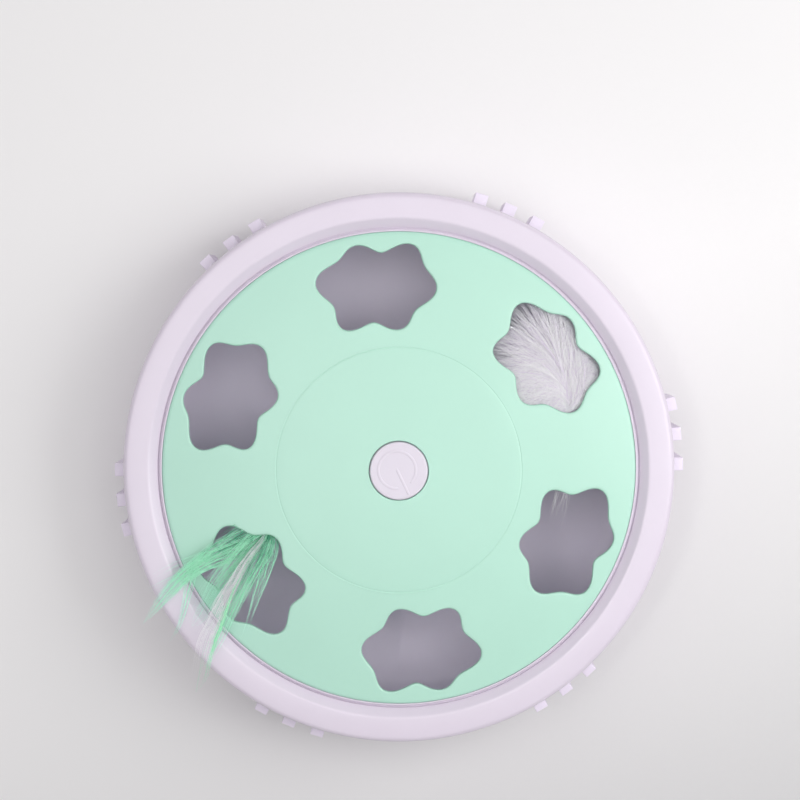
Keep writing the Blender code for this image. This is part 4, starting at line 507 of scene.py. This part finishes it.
# Shares of a lock's length at which its half width is given, and the middle lines of the locks in
# millimetres, with the plug's arm on +X: out of the plug, up through the hole and over the rim.
SHARES = (0, 0.12, 0.25, 0.42, 0.55, 0.75, 0.92, 1)
LEFT = ((60.5, 4.6, 53.0), (68.3, 7.0, 54.6), (78.3, 8.4, 57.2), (87.8, 10.0, 57.8),
        (98.4, 13.1, 57.0), (110.0, 19.2, 56.2), (121.8, 26.6, 54.6))
LEFT_WISPS = ((60.5, 4.6, 53.0), (68.3, 7.2, 54.6), (78.3, 8.8, 57.2), (89.0, 8.6, 57.9),
              (100.0, 9.0, 57.5), (116.7, 13.2, 56.0))
MIDDLE = ((60.5, 7.0, 53.2), (67.2, 9.6, 55.4), (76.1, 14.2, 58.0), (85.4, 19.9, 58.0),
          (91.8, 25.0, 57.2), (96.8, 29.6, 56.6), (102.6, 34.2, 55.6))
MIDDLE_WISPS = ((60.5, 7.0, 53.2), (74.0, 8.5, 57.0), (90.9, 10.5, 57.6), (97.5, 17.3, 57.0),
                (103.2, 25.7, 56.0), (108.3, 32.6, 55.2), (114.4, 38.0, 54.0))
LONG = ((58.6, 6.0, 53.0), (62.0, 11.0, 55.2), (66.7, 16.4, 58.2), (74.3, 23.4, 58.8),
        (84.5, 33.5, 58.4), (93.7, 43.5, 57.2), (102.8, 51.7, 56.2))
LONG_SIDE = ((57.5, 7.0, 53.0), (60.4, 12.8, 55.4), (65.2, 19.5, 57.4), (72.6, 29.3, 57.6),
             (80.3, 40.0, 56.8), (87.0, 48.6, 55.4))
PALE = ((59.5, 6.0, 53.4), (62.9, 9.4, 56.0), (70.4, 14.0, 60.2), (77.3, 19.9, 62.2),
        (85.3, 27.0, 62.4), (93.3, 35.6, 61.6), (99.5, 42.6, 60.6), (109.6, 60.3, 58.2))
DOWN_SHAFT = ((66.0, 0.0, 50.4), (72.5, 0.5, 51.4), (75.5, 8.0, 52.6), (77.0, 18.0, 52.8))
DOWN_STRAYS = ((60.5, -11.0, 50.0), (63.5, -23.0, 49.5), (59.8, -30.8, 49.0),
               (55.6, -38.2, 49.0), (51.7, -45.8, 49.0))
DOWN_MIDDLE = (73, 22)
feather("green_plume_left", LEFT, PLUG_ARM["green"], green_dye_and_root_shade, "green_plume", "green_feather_1", [
    lock(LEFT, (SHARES, (0.6, 3, 5.5, 4.8, 3.2, 2.5, 1.3, 0.15)), 120, 11, reach=(0.7, 1.03)),
    # Short root strands, darker than the lock: painted shade where the locks crowd at the hole.
    lock(LEFT, (SHARES, (0.8, 4.5, 8, 8, 8, 8, 8, 8)), 60, 12, reach=(0.15, 0.4), early=0.05,
         dye=(-0.12, 0.7)),
    lock(LEFT_WISPS, ((0, 0.5, 1), (1, 3, 3.2)), 14, 13, reach=(0.6, 1), sway=0.3)])
feather("green_plume_middle", MIDDLE, PLUG_ARM["green"], green_dye_and_root_shade, "green_plume",
        "green_feather_2", [
    lock(MIDDLE, (SHARES, (0.6, 3, 4.5, 4.6, 4.4, 4, 3.2, 1.2)), 125, 14, dye=(0.12, 1),
         reach=(0.6, 1.02)),
    lock(MIDDLE_WISPS, ((0, 0.4, 0.8, 1), (1.5, 3, 1.6, 0.4)), 16, 19, reach=(0.9, 1), early=0.7,
         dye=(0.3, 0.6))])
feather("green_plume_long", LONG, PLUG_ARM["green"], green_dye_and_root_shade, "green_plume", "green_feather_3", [
    lock(LONG, (SHARES, (0.6, 2.4, 3.6, 3, 2.4, 2.2, 1.6, 0.2)), 60, 15, dye=(0.0, 1.05),
         reach=(0.6, 1)),
    lock(LONG_SIDE, ((0, 0.15, 0.3, 0.5, 0.75, 0.9, 1), (0.6, 2.2, 3.3, 2.7, 1.6, 1, 0.2)), 52, 16,
         reach=(0.35, 0.95), dye=(0.1, 0.95))])
feather("pale_plume", PALE, PLUG_ARM["green"], grey_hackle, "pale_plume", "pale_feather", [
    lock(PALE, (SHARES, (0.3, 0.8, 1.3, 2.1, 3, 3.5, 2.9, 0.3)), 92, 17, dye=(0.0, 0.75),
         layer=0.25),
    lock(PALE, (SHARES, (0.3, 0.5, 0.6, 1.1, 2.4, 3.3, 2.9, 0.3)), 30, 18, lanes=(0.75, 1.4),
         reach=(0.8, 1), dye=(1.05, 0), layer=0.1)])
feather("white_down_feather", DOWN_SHAFT, PLUG_ARM["white"], white_down, "white_down",
        "white_feather", [
    fan(DOWN_SHAFT, DOWN_MIDDLE, 1300, 21, (-60, 245), (22, 36), depth=1.4),
    # The lower layer takes the ramp's lilac end: painted shade and lilac reflection below the top
    # layer.
    fan(DOWN_SHAFT, DOWN_MIDDLE, 1100, 23, (-70, 250), (18, 34), depth=4, thick=0.12, dye=0.1),
    lock(DOWN_STRAYS, ((0, 0.4, 1), (1, 3, 5)), 20, 22, reach=(0.75, 1), sway=0.3, early=0.05,
         thick=0.085)])


# Cover: a domed mint ABS moulding, 2.2 mm thick, clamped by its flange. Six star holes with
# rounded lips let the feathers out, and a fine groove runs round the middle.
COVER_MINT = (0.485, 0.79, 0.655)
COVER_THICKNESS = 0.0022
COVER_EDGE_R = 0.0988
COVER_TOP_Z = 0.0597
DOME_SPHERE_R = 0.56195
EDGE_HALF_WIDTH = 0.0028
EDGE_DROP = 0.0012
EDGE_START = 22
GROOVE_R = 0.05098
GROOVE_HALF = 0.0003
GROOVE_DEPTH = 0.00018
GROOVE_FLOOR = 0.15
HOLES = 6
HALF_CELL = math.radians(180 / HOLES)
HOLE_CENTRE_R = 0.07637
HOLE_MEAN_R = 0.01993
# Waves on each hole's mean circle: lobes, height as a share of its radius, turn in degrees.
HOLE_WAVES = ((2, 0.174, 177.7), (3, 0.0285, 172.3), (4, 0.0329, 136.3), (5, 0.019, -3.6),
              (6, 0.1015, 108.7), (8, 0.0229, -60.8))
HOLE_LIP = 0.0009
HOLE_ROWS = (1, 0.84, 0.66, 0.5, 0.36, 0.24, 0.14, 0.06)
UNDER_EASE = 0.0002
CELL_INNER_R = 0.0526
CELL_OUTER_R = 0.0963
CELL_STEPS = (40, 30, 36, 30)
OPENING_R = 0.01235
OPENING_LIP = 0.0004
OPENING_LAND = 0.0012
UNDER_ROWS = (0.02, 0.03, 0.04)
FLANGE_THICKNESS = 0.0016
FLANGE_EASE = 0.0003
SEAM = 2e-7
FLANGE_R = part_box("star_cover")[1].x
FLANGE_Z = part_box("star_cover")[0].z


def dome(radius):
    """Height of the cover's outside: its top less radius squared over twice the sphere's radius."""
    return COVER_TOP_Z - radius**2 / (2 * DOME_SPHERE_R)


def quarter(start, end, steps):
    """Sines and cosines of evenly spaced angles between two angles in degrees."""
    angle = np.radians(np.linspace(start, end, steps))
    return np.sin(angle), np.cos(angle)


def cell_border():
    """Angles about a hole's middle, and the way along each to the edge of that hole's cell.

    A cell is a sixth of the ring between two circles. The far circle gives
    -c cos a + sqrt(R^2 - c^2 sin^2 a), the near one -c cos a - sqrt(r^2 - c^2 sin^2 a), and the
    two straight sides c sin 30 / sin(|a| - 30), where c is the radius of the hole's middle.
    """
    c, half = HOLE_CENTRE_R, HALF_CELL
    outer = math.atan2(CELL_OUTER_R * math.sin(half), CELL_OUTER_R * math.cos(half) - c)
    inner = math.atan2(CELL_INNER_R * math.sin(half), CELL_INNER_R * math.cos(half) - c)
    ends = (-outer, outer, inner, 2 * math.pi - inner, 2 * math.pi - outer)
    angles, ways = [], []
    for k, steps in enumerate(CELL_STEPS):
        a = np.linspace(ends[k], ends[k + 1], steps, endpoint=False)
        if k == 0:
            way = -c * np.cos(a) + np.sqrt(CELL_OUTER_R**2 - (c * np.sin(a))**2)
        elif k == 2:
            way = -c * np.cos(a) - np.sqrt(CELL_INNER_R**2 - (c * np.sin(a))**2)
        else:
            turn = a if k == 1 else 2 * math.pi - a
            way = c * math.sin(half) / np.sin(turn - half)
        angles.append(a)
        ways.append(way)
    return np.concatenate(angles), np.concatenate(ways)


def cell_grid():
    """One cell of the cover about its hole on +X: rows from its edge, over the lip and back.

    Along the ray at angle a the hole's wall is at r(a) = mean * (1 + sum of waves). A row lies at
    r + inset + share * (cell's edge - r - inset), at a drop below the dome. Over the lip the inset
    is lip * (1 - sin b) and the drop lip * (1 - cos b).
    """
    angle, border = cell_border()
    wall = HOLE_MEAN_R * (1 + sum(height * np.cos(lobes * angle - math.radians(turn))
                                  for lobes, height, turn in HOLE_WAVES))
    shares = np.array(HOLE_ROWS)
    sine, cosine = quarter(0, 90, 7)
    share = np.concatenate([shares, 0 * sine, [0, 0], shares[::-1]])
    inset = np.concatenate([np.full(len(shares), HOLE_LIP), HOLE_LIP * (1 - sine),
                            [0, UNDER_EASE], np.full(len(shares), UNDER_EASE)])
    drop = np.concatenate([0 * shares, HOLE_LIP * (1 - cosine), [COVER_THICKNESS - UNDER_EASE],
                           np.full(len(shares) + 1, COVER_THICKNESS)])
    start = wall + inset[:, None]
    reach = start + share[:, None] * (border - start)
    x = HOLE_CENTRE_R + reach * np.cos(angle)
    y = reach * np.sin(angle)
    return np.stack([x, y, dome(np.hypot(x, y)) - drop[:, None]], axis=-1)


def copies(points, faces, turns):
    """A grid repeated about the Z axis: (x, y) turned by each angle. Gives (points, faces)."""
    points = points.reshape(-1, 3)
    cosines, sines = np.cos(turns)[:, None], np.sin(turns)[:, None]
    x, y, z = points.T
    turned_round = np.stack([cosines * x - sines * y, sines * x + cosines * y,
                             np.broadcast_to(z, (len(turns), len(z)))], axis=-1)
    steps = len(points) * np.arange(len(turns))
    return turned_round, (faces[None] + steps[:, None, None]).reshape(-1, 4)


def turned(profile, angles, closed=True):
    """A section of (radius, height) pairs carried round Z: x = r cos a, y = r sin a, z = h."""
    profile = np.array(profile)
    r, z = profile[:, :1], profile[:, 1:]
    points = np.stack([r * np.cos(angles), r * np.sin(angles), z + 0 * angles], axis=-1)
    return points, grid_faces(len(profile), len(angles), closed_rows=closed)


def rounded(centre, radius, start, end, steps):
    """Points of an arc in a section, its angles in degrees from outwards. Radius may be a pair."""
    sine, cosine = quarter(start, end, steps)
    wide, high = radius if isinstance(radius, tuple) else (radius, radius)
    return list(zip(centre[0] + wide * cosine, centre[1] + high * sine))


def cover_middle():
    """Section inside the cells: from their inner edge over the groove to the button's opening."""
    shelf = [(r, dome(r)) for r in (CELL_INNER_R, GROOVE_R + 2 * GROOVE_HALF)]
    groove = [(GROOVE_R + GROOVE_HALF * k, dome(GROOVE_R) - GROOVE_DEPTH * (1 - abs(k)))
              for k in (1, GROOVE_FLOOR, -GROOVE_FLOOR, -1)]
    inside = [(r, dome(r)) for r in
              np.linspace(GROOVE_R - 2 * GROOVE_HALF, OPENING_R + OPENING_LAND, 14)]
    mouth = [(OPENING_R + OPENING_LIP * (1 - s), dome(OPENING_R) - OPENING_LIP * (1 - c))
             for s, c in zip(*quarter(0, 90, 5))]
    under = [(r, dome(r) - COVER_THICKNESS) for r in (OPENING_R, *UNDER_ROWS, CELL_INNER_R)]
    return shelf + groove + inside + mouth + under


def cover_edge():
    """Section outside the cells: the dome's rolled edge, the skirt, the flange and the way back."""
    start = math.radians(EDGE_START)
    centre_r = COVER_EDGE_R - EDGE_HALF_WIDTH
    start_r = centre_r + EDGE_HALF_WIDTH * math.sin(start)
    centre = (centre_r, dome(start_r) - EDGE_DROP * math.cos(start))
    flange_top = FLANGE_Z + FLANGE_THICKNESS
    skirt = COVER_EDGE_R - COVER_THICKNESS
    section = [(CELL_OUTER_R, dome(CELL_OUTER_R))]
    section += rounded(centre, (EDGE_HALF_WIDTH, EDGE_DROP), 90 - EDGE_START, 0, 9)
    section += [(COVER_EDGE_R, flange_top + FLANGE_EASE), (COVER_EDGE_R + FLANGE_EASE, flange_top)]
    section += [(FLANGE_R, flange_top), (FLANGE_R, FLANGE_Z), (skirt, FLANGE_Z)]
    section += [(skirt, centre[1] - COVER_THICKNESS / 2)]
    section += [(CELL_OUTER_R, dome(CELL_OUTER_R) - COVER_THICKNESS)]
    return section


def surface(name, parts):
    """One mesh from several grids of points, each (points, faces), merged where they meet."""
    start = np.cumsum([0] + [len(points.reshape(-1, 3)) for points, faces in parts])
    points = np.concatenate([points.reshape(-1, 3) for points, faces in parts])
    faces = np.concatenate([faces + at for (_, faces), at in zip(parts, start)])
    mesh = bpy.data.meshes.new(name)
    mesh.from_pydata(points, [], faces)
    return welded(mesh, SEAM, outward=True)


mint = moulded("cover_mint_abs", COVER_MINT, 0.4, shade=0.02, grain=0.02, coat=0.3)
cell = cell_grid()
cell_faces = grid_faces(*cell.shape[:2])
hole_turns = HALF_CELL + 2 * HALF_CELL * np.arange(HOLES)
outer_edge = cell[0, :CELL_STEPS[0]]
inner_edge = cell[0, sum(CELL_STEPS[:2]):sum(CELL_STEPS[:3])]
outer_angles = (np.arctan2(outer_edge[:, 1], outer_edge[:, 0]) + hole_turns[:, None]).ravel()
inner_angles = (np.arctan2(inner_edge[:, 1], inner_edge[:, 0])[::-1] + hole_turns[:, None]).ravel()
cover = surface("domed_cover", [
    copies(cell, cell_faces, hole_turns),
    turned(cover_middle(), inner_angles, closed=False),
    turned(cover_edge(), outer_angles, closed=False)])
finished("domed_cover", cover, "housing", mint, "mint_abs", "star_cover")


# Rim: a pale lilac ring over the wall and the cover's flange. It has a round outer corner, a
# slightly crowned top, a bevel and a narrow lip by the cover. Six screws from below pull it tight.
RIM_LILAC = (0.76, 0.685, 0.79)
RIM_ROUND = 0.0026
RIM_WALL = 0.0022
RIM_BEVEL_DROP = 0.0028
RIM_BEVEL_WIDTH = 0.0036
RIM_CROWN = 0.0004
RIM_LIP_RISE = 0.0006
RIM_CREASE = 0.0015
RIM_ROUND_TURN = 84
RIM_CROWN_ROWS = 7
RIM_FLAT_LAND = 0.0010
RIM_GAP = 0.00006
RIM_LIP_WIDTH = 0.0018
RIM_EASE = 0.0003
RIM_SEAT = 0.0022
RIM_STEPS = 256
# Small turns of the section, as steps outwards and upwards from its corners: from the top into
# the bevel, from the bevel into the crease, over the lip by the cover, and round the lower hem.
RIM_BROW = ((0.0003, -0.00004), (-0.0002, -0.00022), (-0.0006, -0.00052))
RIM_TOE = ((0.0005, 0.00036), (0.00006, -0.0001), (0, -RIM_CREASE), (-0.0005, -RIM_CREASE),
           (-0.00062, -0.0002))
RIM_LIP = ((0.00056, 0.00044), (0.00043, RIM_LIP_RISE), (0.00012, RIM_LIP_RISE),
           (0, RIM_LIP_RISE - 0.00012))
RIM_HEM = ((-RIM_WALL, RIM_EASE), (RIM_EASE - RIM_WALL, 0), (-0.0005, 0), (-0.0001, 0.0003),
           (0, 0.0008))


def stepped(corner, steps):
    """Points of a section at steps (outwards, upwards) from one of its corners."""
    return [(corner[0] + out, corner[1] + up) for out, up in steps]


rim_low, rim_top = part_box("rim_ring")[0].z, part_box("rim_ring")[1].z
rim_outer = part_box("rim_ring")[1].x
lip_r = COVER_EDGE_R + RIM_GAP
rim_inner = COVER_EDGE_R + RIM_LIP_WIDTH
flat_r = rim_inner + RIM_BEVEL_WIDTH
foot_z = rim_top - RIM_BEVEL_DROP
wall_r = rim_inner + RIM_WALL
round_end = math.radians(RIM_ROUND_TURN)
rim_lilac = moulded("rim_lilac_abs", RIM_LILAC, 0.36, shade=0.02, grain=0.03, coat=0.6)
crown_end = rim_outer - RIM_ROUND * (1 - math.cos(round_end))
crown_rows = np.linspace(crown_end, flat_r + RIM_FLAT_LAND, RIM_CROWN_ROWS)
crown_drop = RIM_CROWN * ((crown_rows - flat_r) / (crown_end - flat_r))**2
round_centre = (rim_outer - RIM_ROUND, rim_top - RIM_CROWN - RIM_ROUND * math.sin(round_end))
rim_section = rounded(round_centre, RIM_ROUND, 0, RIM_ROUND_TURN, 10)
rim_section += list(zip(crown_rows, rim_top - crown_drop))[1:]
rim_section += stepped((flat_r, rim_top), RIM_BROW)
rim_section += stepped((rim_inner, foot_z), RIM_TOE)
rim_section += stepped((lip_r, foot_z), RIM_LIP)
rim_section += [(lip_r, FLANGE_Z + RIM_SEAT), (wall_r, FLANGE_Z + RIM_SEAT)]
rim_section += [(wall_r, foot_z - RIM_WALL), (flat_r, rim_top - RIM_WALL - RIM_EASE)]
rim_section += [(rim_outer - RIM_ROUND, rim_top - RIM_WALL - RIM_CROWN)]
rim_section += [(rim_outer - RIM_WALL, rim_top - RIM_ROUND - RIM_CROWN)]
rim_section += stepped((rim_outer, rim_low), RIM_HEM)
round_turns = np.linspace(0, 2 * math.pi, RIM_STEPS, endpoint=False)
finished("outer_rim", surface("outer_rim", [turned(rim_section, round_turns)]), "housing",
         rim_lilac, "lilac_abs", "rim_ring")


# Button: a pale lilac ABS cap with a softened edge, held in the cover's opening by its flange. A
# power sign is moulded on it, a fraction of a millimetre high: a broken ring, a little off the
# middle, and a stroke through the break.
BUTTON_LILAC = (0.775, 0.72, 0.81)
BUTTON_R = 0.0120
BUTTON_ROUND = 0.0007
BUTTON_MIDDLE_R = 0.002
BUTTON_FLANGE = 0.0012
BUTTON_WALL = 0.0015
BUTTON_ROOF = 0.0022
STEM_R = 0.0022
STEM_GAP = 0.0003
SIGN_R = 0.00775
SIGN_AT = (-0.0007, 0.0005)
SIGN_WIDTH = 0.0012
SIGN_RAISE = 0.00017
SIGN_TURN = math.radians(-71)
SIGN_BREAK = math.radians(18)
SIGN_BAR = (-0.0008, 0.0117)
SIGN_SINK = 0.00001
button_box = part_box("power_button")
button_top = button_box[1].z
button_lilac = moulded("button_lilac_abs", BUTTON_LILAC, 0.38, shade=0.02, grain=0.03)
top_rows = np.linspace(BUTTON_MIDDLE_R, BUTTON_R - 2 * BUTTON_ROUND, 6)
cap = [(0, button_top)] + [(r, button_top) for r in top_rows]
cap += rounded((BUTTON_R - BUTTON_ROUND, button_top - BUTTON_ROUND), BUTTON_ROUND, 90, 0, 7)
flange = button_box[1].x
flange_low = button_box[0].z
flange_high = flange_low + BUTTON_FLANGE
roof_low = button_top - BUTTON_ROOF
inner_r = BUTTON_R - BUTTON_WALL
stem_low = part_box("switch_plunger")[1].z + STEM_GAP
cap += [(BUTTON_R, flange_high), (flange, flange_high), (flange, flange_low)]
cap += [(inner_r, flange_low), (inner_r, roof_low)]
cap += [(STEM_R, roof_low), (STEM_R, stem_low), (0, stem_low)]
finished("button_cap", surface("button_cap", [turned(cap, round_turns[::2])]), "button",
         button_lilac, "button_abs", "power_button")


def stroke(path, width, height, base):
    """A raised line: a half ellipse, width across and height tall, carried along a flat path.

    It narrows over its last steps at both ends, and closes just below the face that it stands on.
    """
    along = np.gradient(path, axis=0)
    along /= np.linalg.norm(along, axis=1, keepdims=True)
    across = np.stack([-along[:, 1], along[:, 0]], axis=-1)
    angle = np.linspace(0, math.pi, 9)
    ends = np.ones(len(path))
    ends[[0, -1]] = 0.0
    ends[[1, -2]] = 0.75
    offset = ends[:, None] * width / 2 * np.cos(angle)
    xy = path[:, None] + offset[..., None] * across[:, None]
    z = base + (ends[:, None] > 0) * height * np.sin(angle) - height * (ends[:, None] == 0)
    return np.concatenate([xy, z[..., None]], axis=-1), grid_faces(len(path), len(angle))


sign_angles = np.linspace(SIGN_TURN + SIGN_BREAK, SIGN_TURN + 2 * math.pi - SIGN_BREAK, 90)
ring = SIGN_AT + SIGN_R * np.stack([np.cos(sign_angles), np.sin(sign_angles)], axis=-1)
bar = SIGN_AT + (np.linspace(*SIGN_BAR, 24)[:, None]
                 * [[math.cos(SIGN_TURN), math.sin(SIGN_TURN)]])
sign = surface("power_sign", [stroke(path, SIGN_WIDTH, SIGN_RAISE, button_top - SIGN_SINK)
                              for path in (ring, bar)])
finished("power_sign", sign, "button", button_lilac, "button_abs")


# Stage: pale backdrop paper, its tone painted with shade, under a low key lamp at the right, a wide
# top lamp, a side lamp, a fill from the left and a weak narrow lamp on the toy's right side. The
# camera looks down on the face as in the photograph, where the toy is turned a little and stands
# below the middle.
BACKDROP = 0.86


def seen(tree):
    """One for rays that a viewer follows, straight, by reflection or through glass, else zero."""
    path = tree.nodes.new("ShaderNodeLightPath")
    mirrored = tree.nodes.new("ShaderNodeMath")
    mirrored.operation = "MAXIMUM"
    through = tree.nodes.new("ShaderNodeMath")
    through.operation = "MAXIMUM"
    link(tree, (path, "Is Camera Ray"), (mirrored, 0))
    link(tree, (path, "Is Glossy Ray"), (mirrored, 1))
    link(tree, (mirrored, "Value"), (through, 0))
    link(tree, (path, "Is Transmission Ray"), (through, 1))
    return through


def paper(name, dark, light, way, reach, fade):
    """Backdrop paper with painted shade: its tone runs from dark to light along a way, between two
    places on it.

    Far from the object it fades, for rays that are seen, into the plain tone of the surroundings.
    """
    material = bpy.data.materials.new(name)
    material.use_nodes = True
    tree = material.node_tree
    shader = tree.nodes["Principled BSDF"]
    shader.inputs["Roughness"].default_value = 0.9
    place = tree.nodes.new("ShaderNodeTexCoord")
    along = tree.nodes.new("ShaderNodeVectorMath")
    along.operation = "DOT_PRODUCT"
    along.inputs[1].default_value = way
    painted_shade = tree.nodes.new("ShaderNodeMapRange")
    painted_shade.inputs["From Min"].default_value = reach[0]
    painted_shade.inputs["From Max"].default_value = reach[1]
    tint = tree.nodes.new("ShaderNodeValToRGB")
    tint.color_ramp.elements[0].color = (*dark, 1)
    tint.color_ramp.elements[1].color = (*light, 1)
    away = tree.nodes.new("ShaderNodeVectorMath")
    away.operation = "LENGTH"
    far = tree.nodes.new("ShaderNodeMapRange")
    far.interpolation_type = "SMOOTHSTEP"
    far.inputs["From Min"].default_value = fade[0]
    far.inputs["From Max"].default_value = fade[1]
    share = tree.nodes.new("ShaderNodeMath")
    share.operation = "MULTIPLY"
    glow = tree.nodes.new("ShaderNodeEmission")
    glow.inputs["Color"].default_value = (BACKDROP, BACKDROP, BACKDROP, 1)
    mixed = tree.nodes.new("ShaderNodeMixShader")
    link(tree, (place, "Object"), (along, 0))
    link(tree, (place, "Object"), (away, 0))
    link(tree, (along, "Value"), (painted_shade, "Value"))
    link(tree, (away, "Value"), (far, "Value"))
    link(tree, (painted_shade, "Result"), (tint, "Fac"))
    link(tree, (tint, "Color"), (shader, "Base Color"))
    link(tree, (far, "Result"), (share, 0))
    link(tree, (seen(tree), "Value"), (share, 1))
    link(tree, (share, "Value"), (mixed, "Fac"))
    link(tree, (shader, "BSDF"), (mixed, 1))
    link(tree, (glow, "Emission"), (mixed, 2))
    link(tree, (mixed, "Shader"), (tree.nodes["Material Output"], "Surface"))
    return material


ROLL = math.radians(6.8)
right = Vector((math.cos(ROLL), -math.sin(ROLL), 0))
ahead = Vector((math.sin(ROLL), math.cos(ROLL), 0))
FLOOR_HALF = 6.0
# The floor's tone is painted shade and light: darker along -ahead and to the right, lighter along
# ahead and to the left, where it lifts the key lamp's shadow.
FLOOR_PAINTED_SHADE = (0.67, 0.66, 0.665)
FLOOR_PAINTED_LIGHT = (0.93, 0.915, 0.915)
FLOOR_SHADE_SPAN = (-0.21, 0.03)
FLOOR_FADE = (0.3, 1.1)
floor_mesh = bpy.data.meshes.new("floor")
floor_mesh.from_pydata([(-FLOOR_HALF, -FLOOR_HALF, 0), (FLOOR_HALF, -FLOOR_HALF, 0),
                        (FLOOR_HALF, FLOOR_HALF, 0), (-FLOOR_HALF, FLOOR_HALF, 0)], [],
                       [(0, 1, 2, 3)])
floor_shade_way = 0.92 * ahead - 0.38 * right
floor_mesh.materials.append(
    paper("floor_paper_painted_shade", FLOOR_PAINTED_SHADE, FLOOR_PAINTED_LIGHT, floor_shade_way, FLOOR_SHADE_SPAN, FLOOR_FADE))
floor = bpy.data.objects.new("floor", floor_mesh)
bpy.context.scene.collection.objects.link(floor)

FACE_Z = 0.050


def lamp(name, where, aim, size, power, spread=math.pi):
    """A square soft light, given by its place in the photograph's own directions."""
    data = bpy.data.lights.new(name, "AREA")
    data.size = size
    data.energy = power
    data.spread = spread
    item = bpy.data.objects.new(name, data)
    at = right * where[0] + ahead * where[1] + Vector((0, 0, where[2]))
    item.matrix_world = (Matrix.Translation(at)
                         @ (at - Vector(aim)).to_track_quat("Z", "Y").to_matrix().to_4x4())
    bpy.context.scene.collection.objects.link(item)


lamp("key", (0.65, 0.12, 0.66), (0, 0, FACE_Z), 0.6, 3.4)
lamp("top", (0, 0.1, 1.5), (0, 0, FACE_Z), 1.1, 5.4)
lamp("side", (0.75, 0.15, 1.4), (0, 0, FACE_Z), 0.6, 2.4)
lamp("fill", (-0.6, 0.12, 1.2), (0, 0, FACE_Z), 0.9, 1.9)
lamp("kicker", (-0.36, 0.12, 1.3), (0.085, 0, FACE_Z), 0.25, 0.006, math.radians(7))
world = bpy.data.worlds.new("studio")
world.use_nodes = True
sky = world.node_tree
sky.nodes["Background"].inputs["Color"].default_value = (0.95, 0.945, 0.96, 1)
sky.nodes["Background"].inputs["Strength"].default_value = 0.34
surroundings = sky.nodes.new("ShaderNodeBackground")
surroundings.inputs["Color"].default_value = (BACKDROP, BACKDROP, BACKDROP, 1)
both = sky.nodes.new("ShaderNodeMixShader")
link(sky, (seen(sky), "Value"), (both, "Fac"))
link(sky, (sky.nodes["Background"], "Background"), (both, 1))
link(sky, (surroundings, "Background"), (both, 2))
link(sky, (both, "Shader"), (sky.nodes["World Output"], "Surface"))
bpy.context.scene.world = world

# The camera's tilt and frame put the button, the cover's edge and the ribs where the photograph
# has them. Its aim is given from the toy's middle, in the photograph's own directions.
TILT = math.radians(5.05)
CAMERA_WAY = 0.90
FRAME_WIDTH = 0.33408
AIM_ABOVE = 0.02874
AIM_RIGHT = 0.00049
camera_data = bpy.data.cameras.new("camera")
camera_data.lens = camera_data.sensor_width * CAMERA_WAY / FRAME_WIDTH
camera = bpy.data.objects.new("camera", camera_data)
centre = Vector((0, 0, FACE_Z)) + AIM_RIGHT * right
at = centre + CAMERA_WAY * (math.sin(TILT) * ahead + math.cos(TILT) * Vector((0, 0, 1)))
back = (at - centre - AIM_ABOVE * ahead).normalized()
axes = Matrix((right, back.cross(right), back)).transposed()
camera.matrix_world = Matrix.Translation(at) @ axes.to_4x4()
bpy.context.scene.collection.objects.link(camera)
bpy.context.scene.camera = camera
bpy.context.scene.view_settings.view_transform = "Standard"
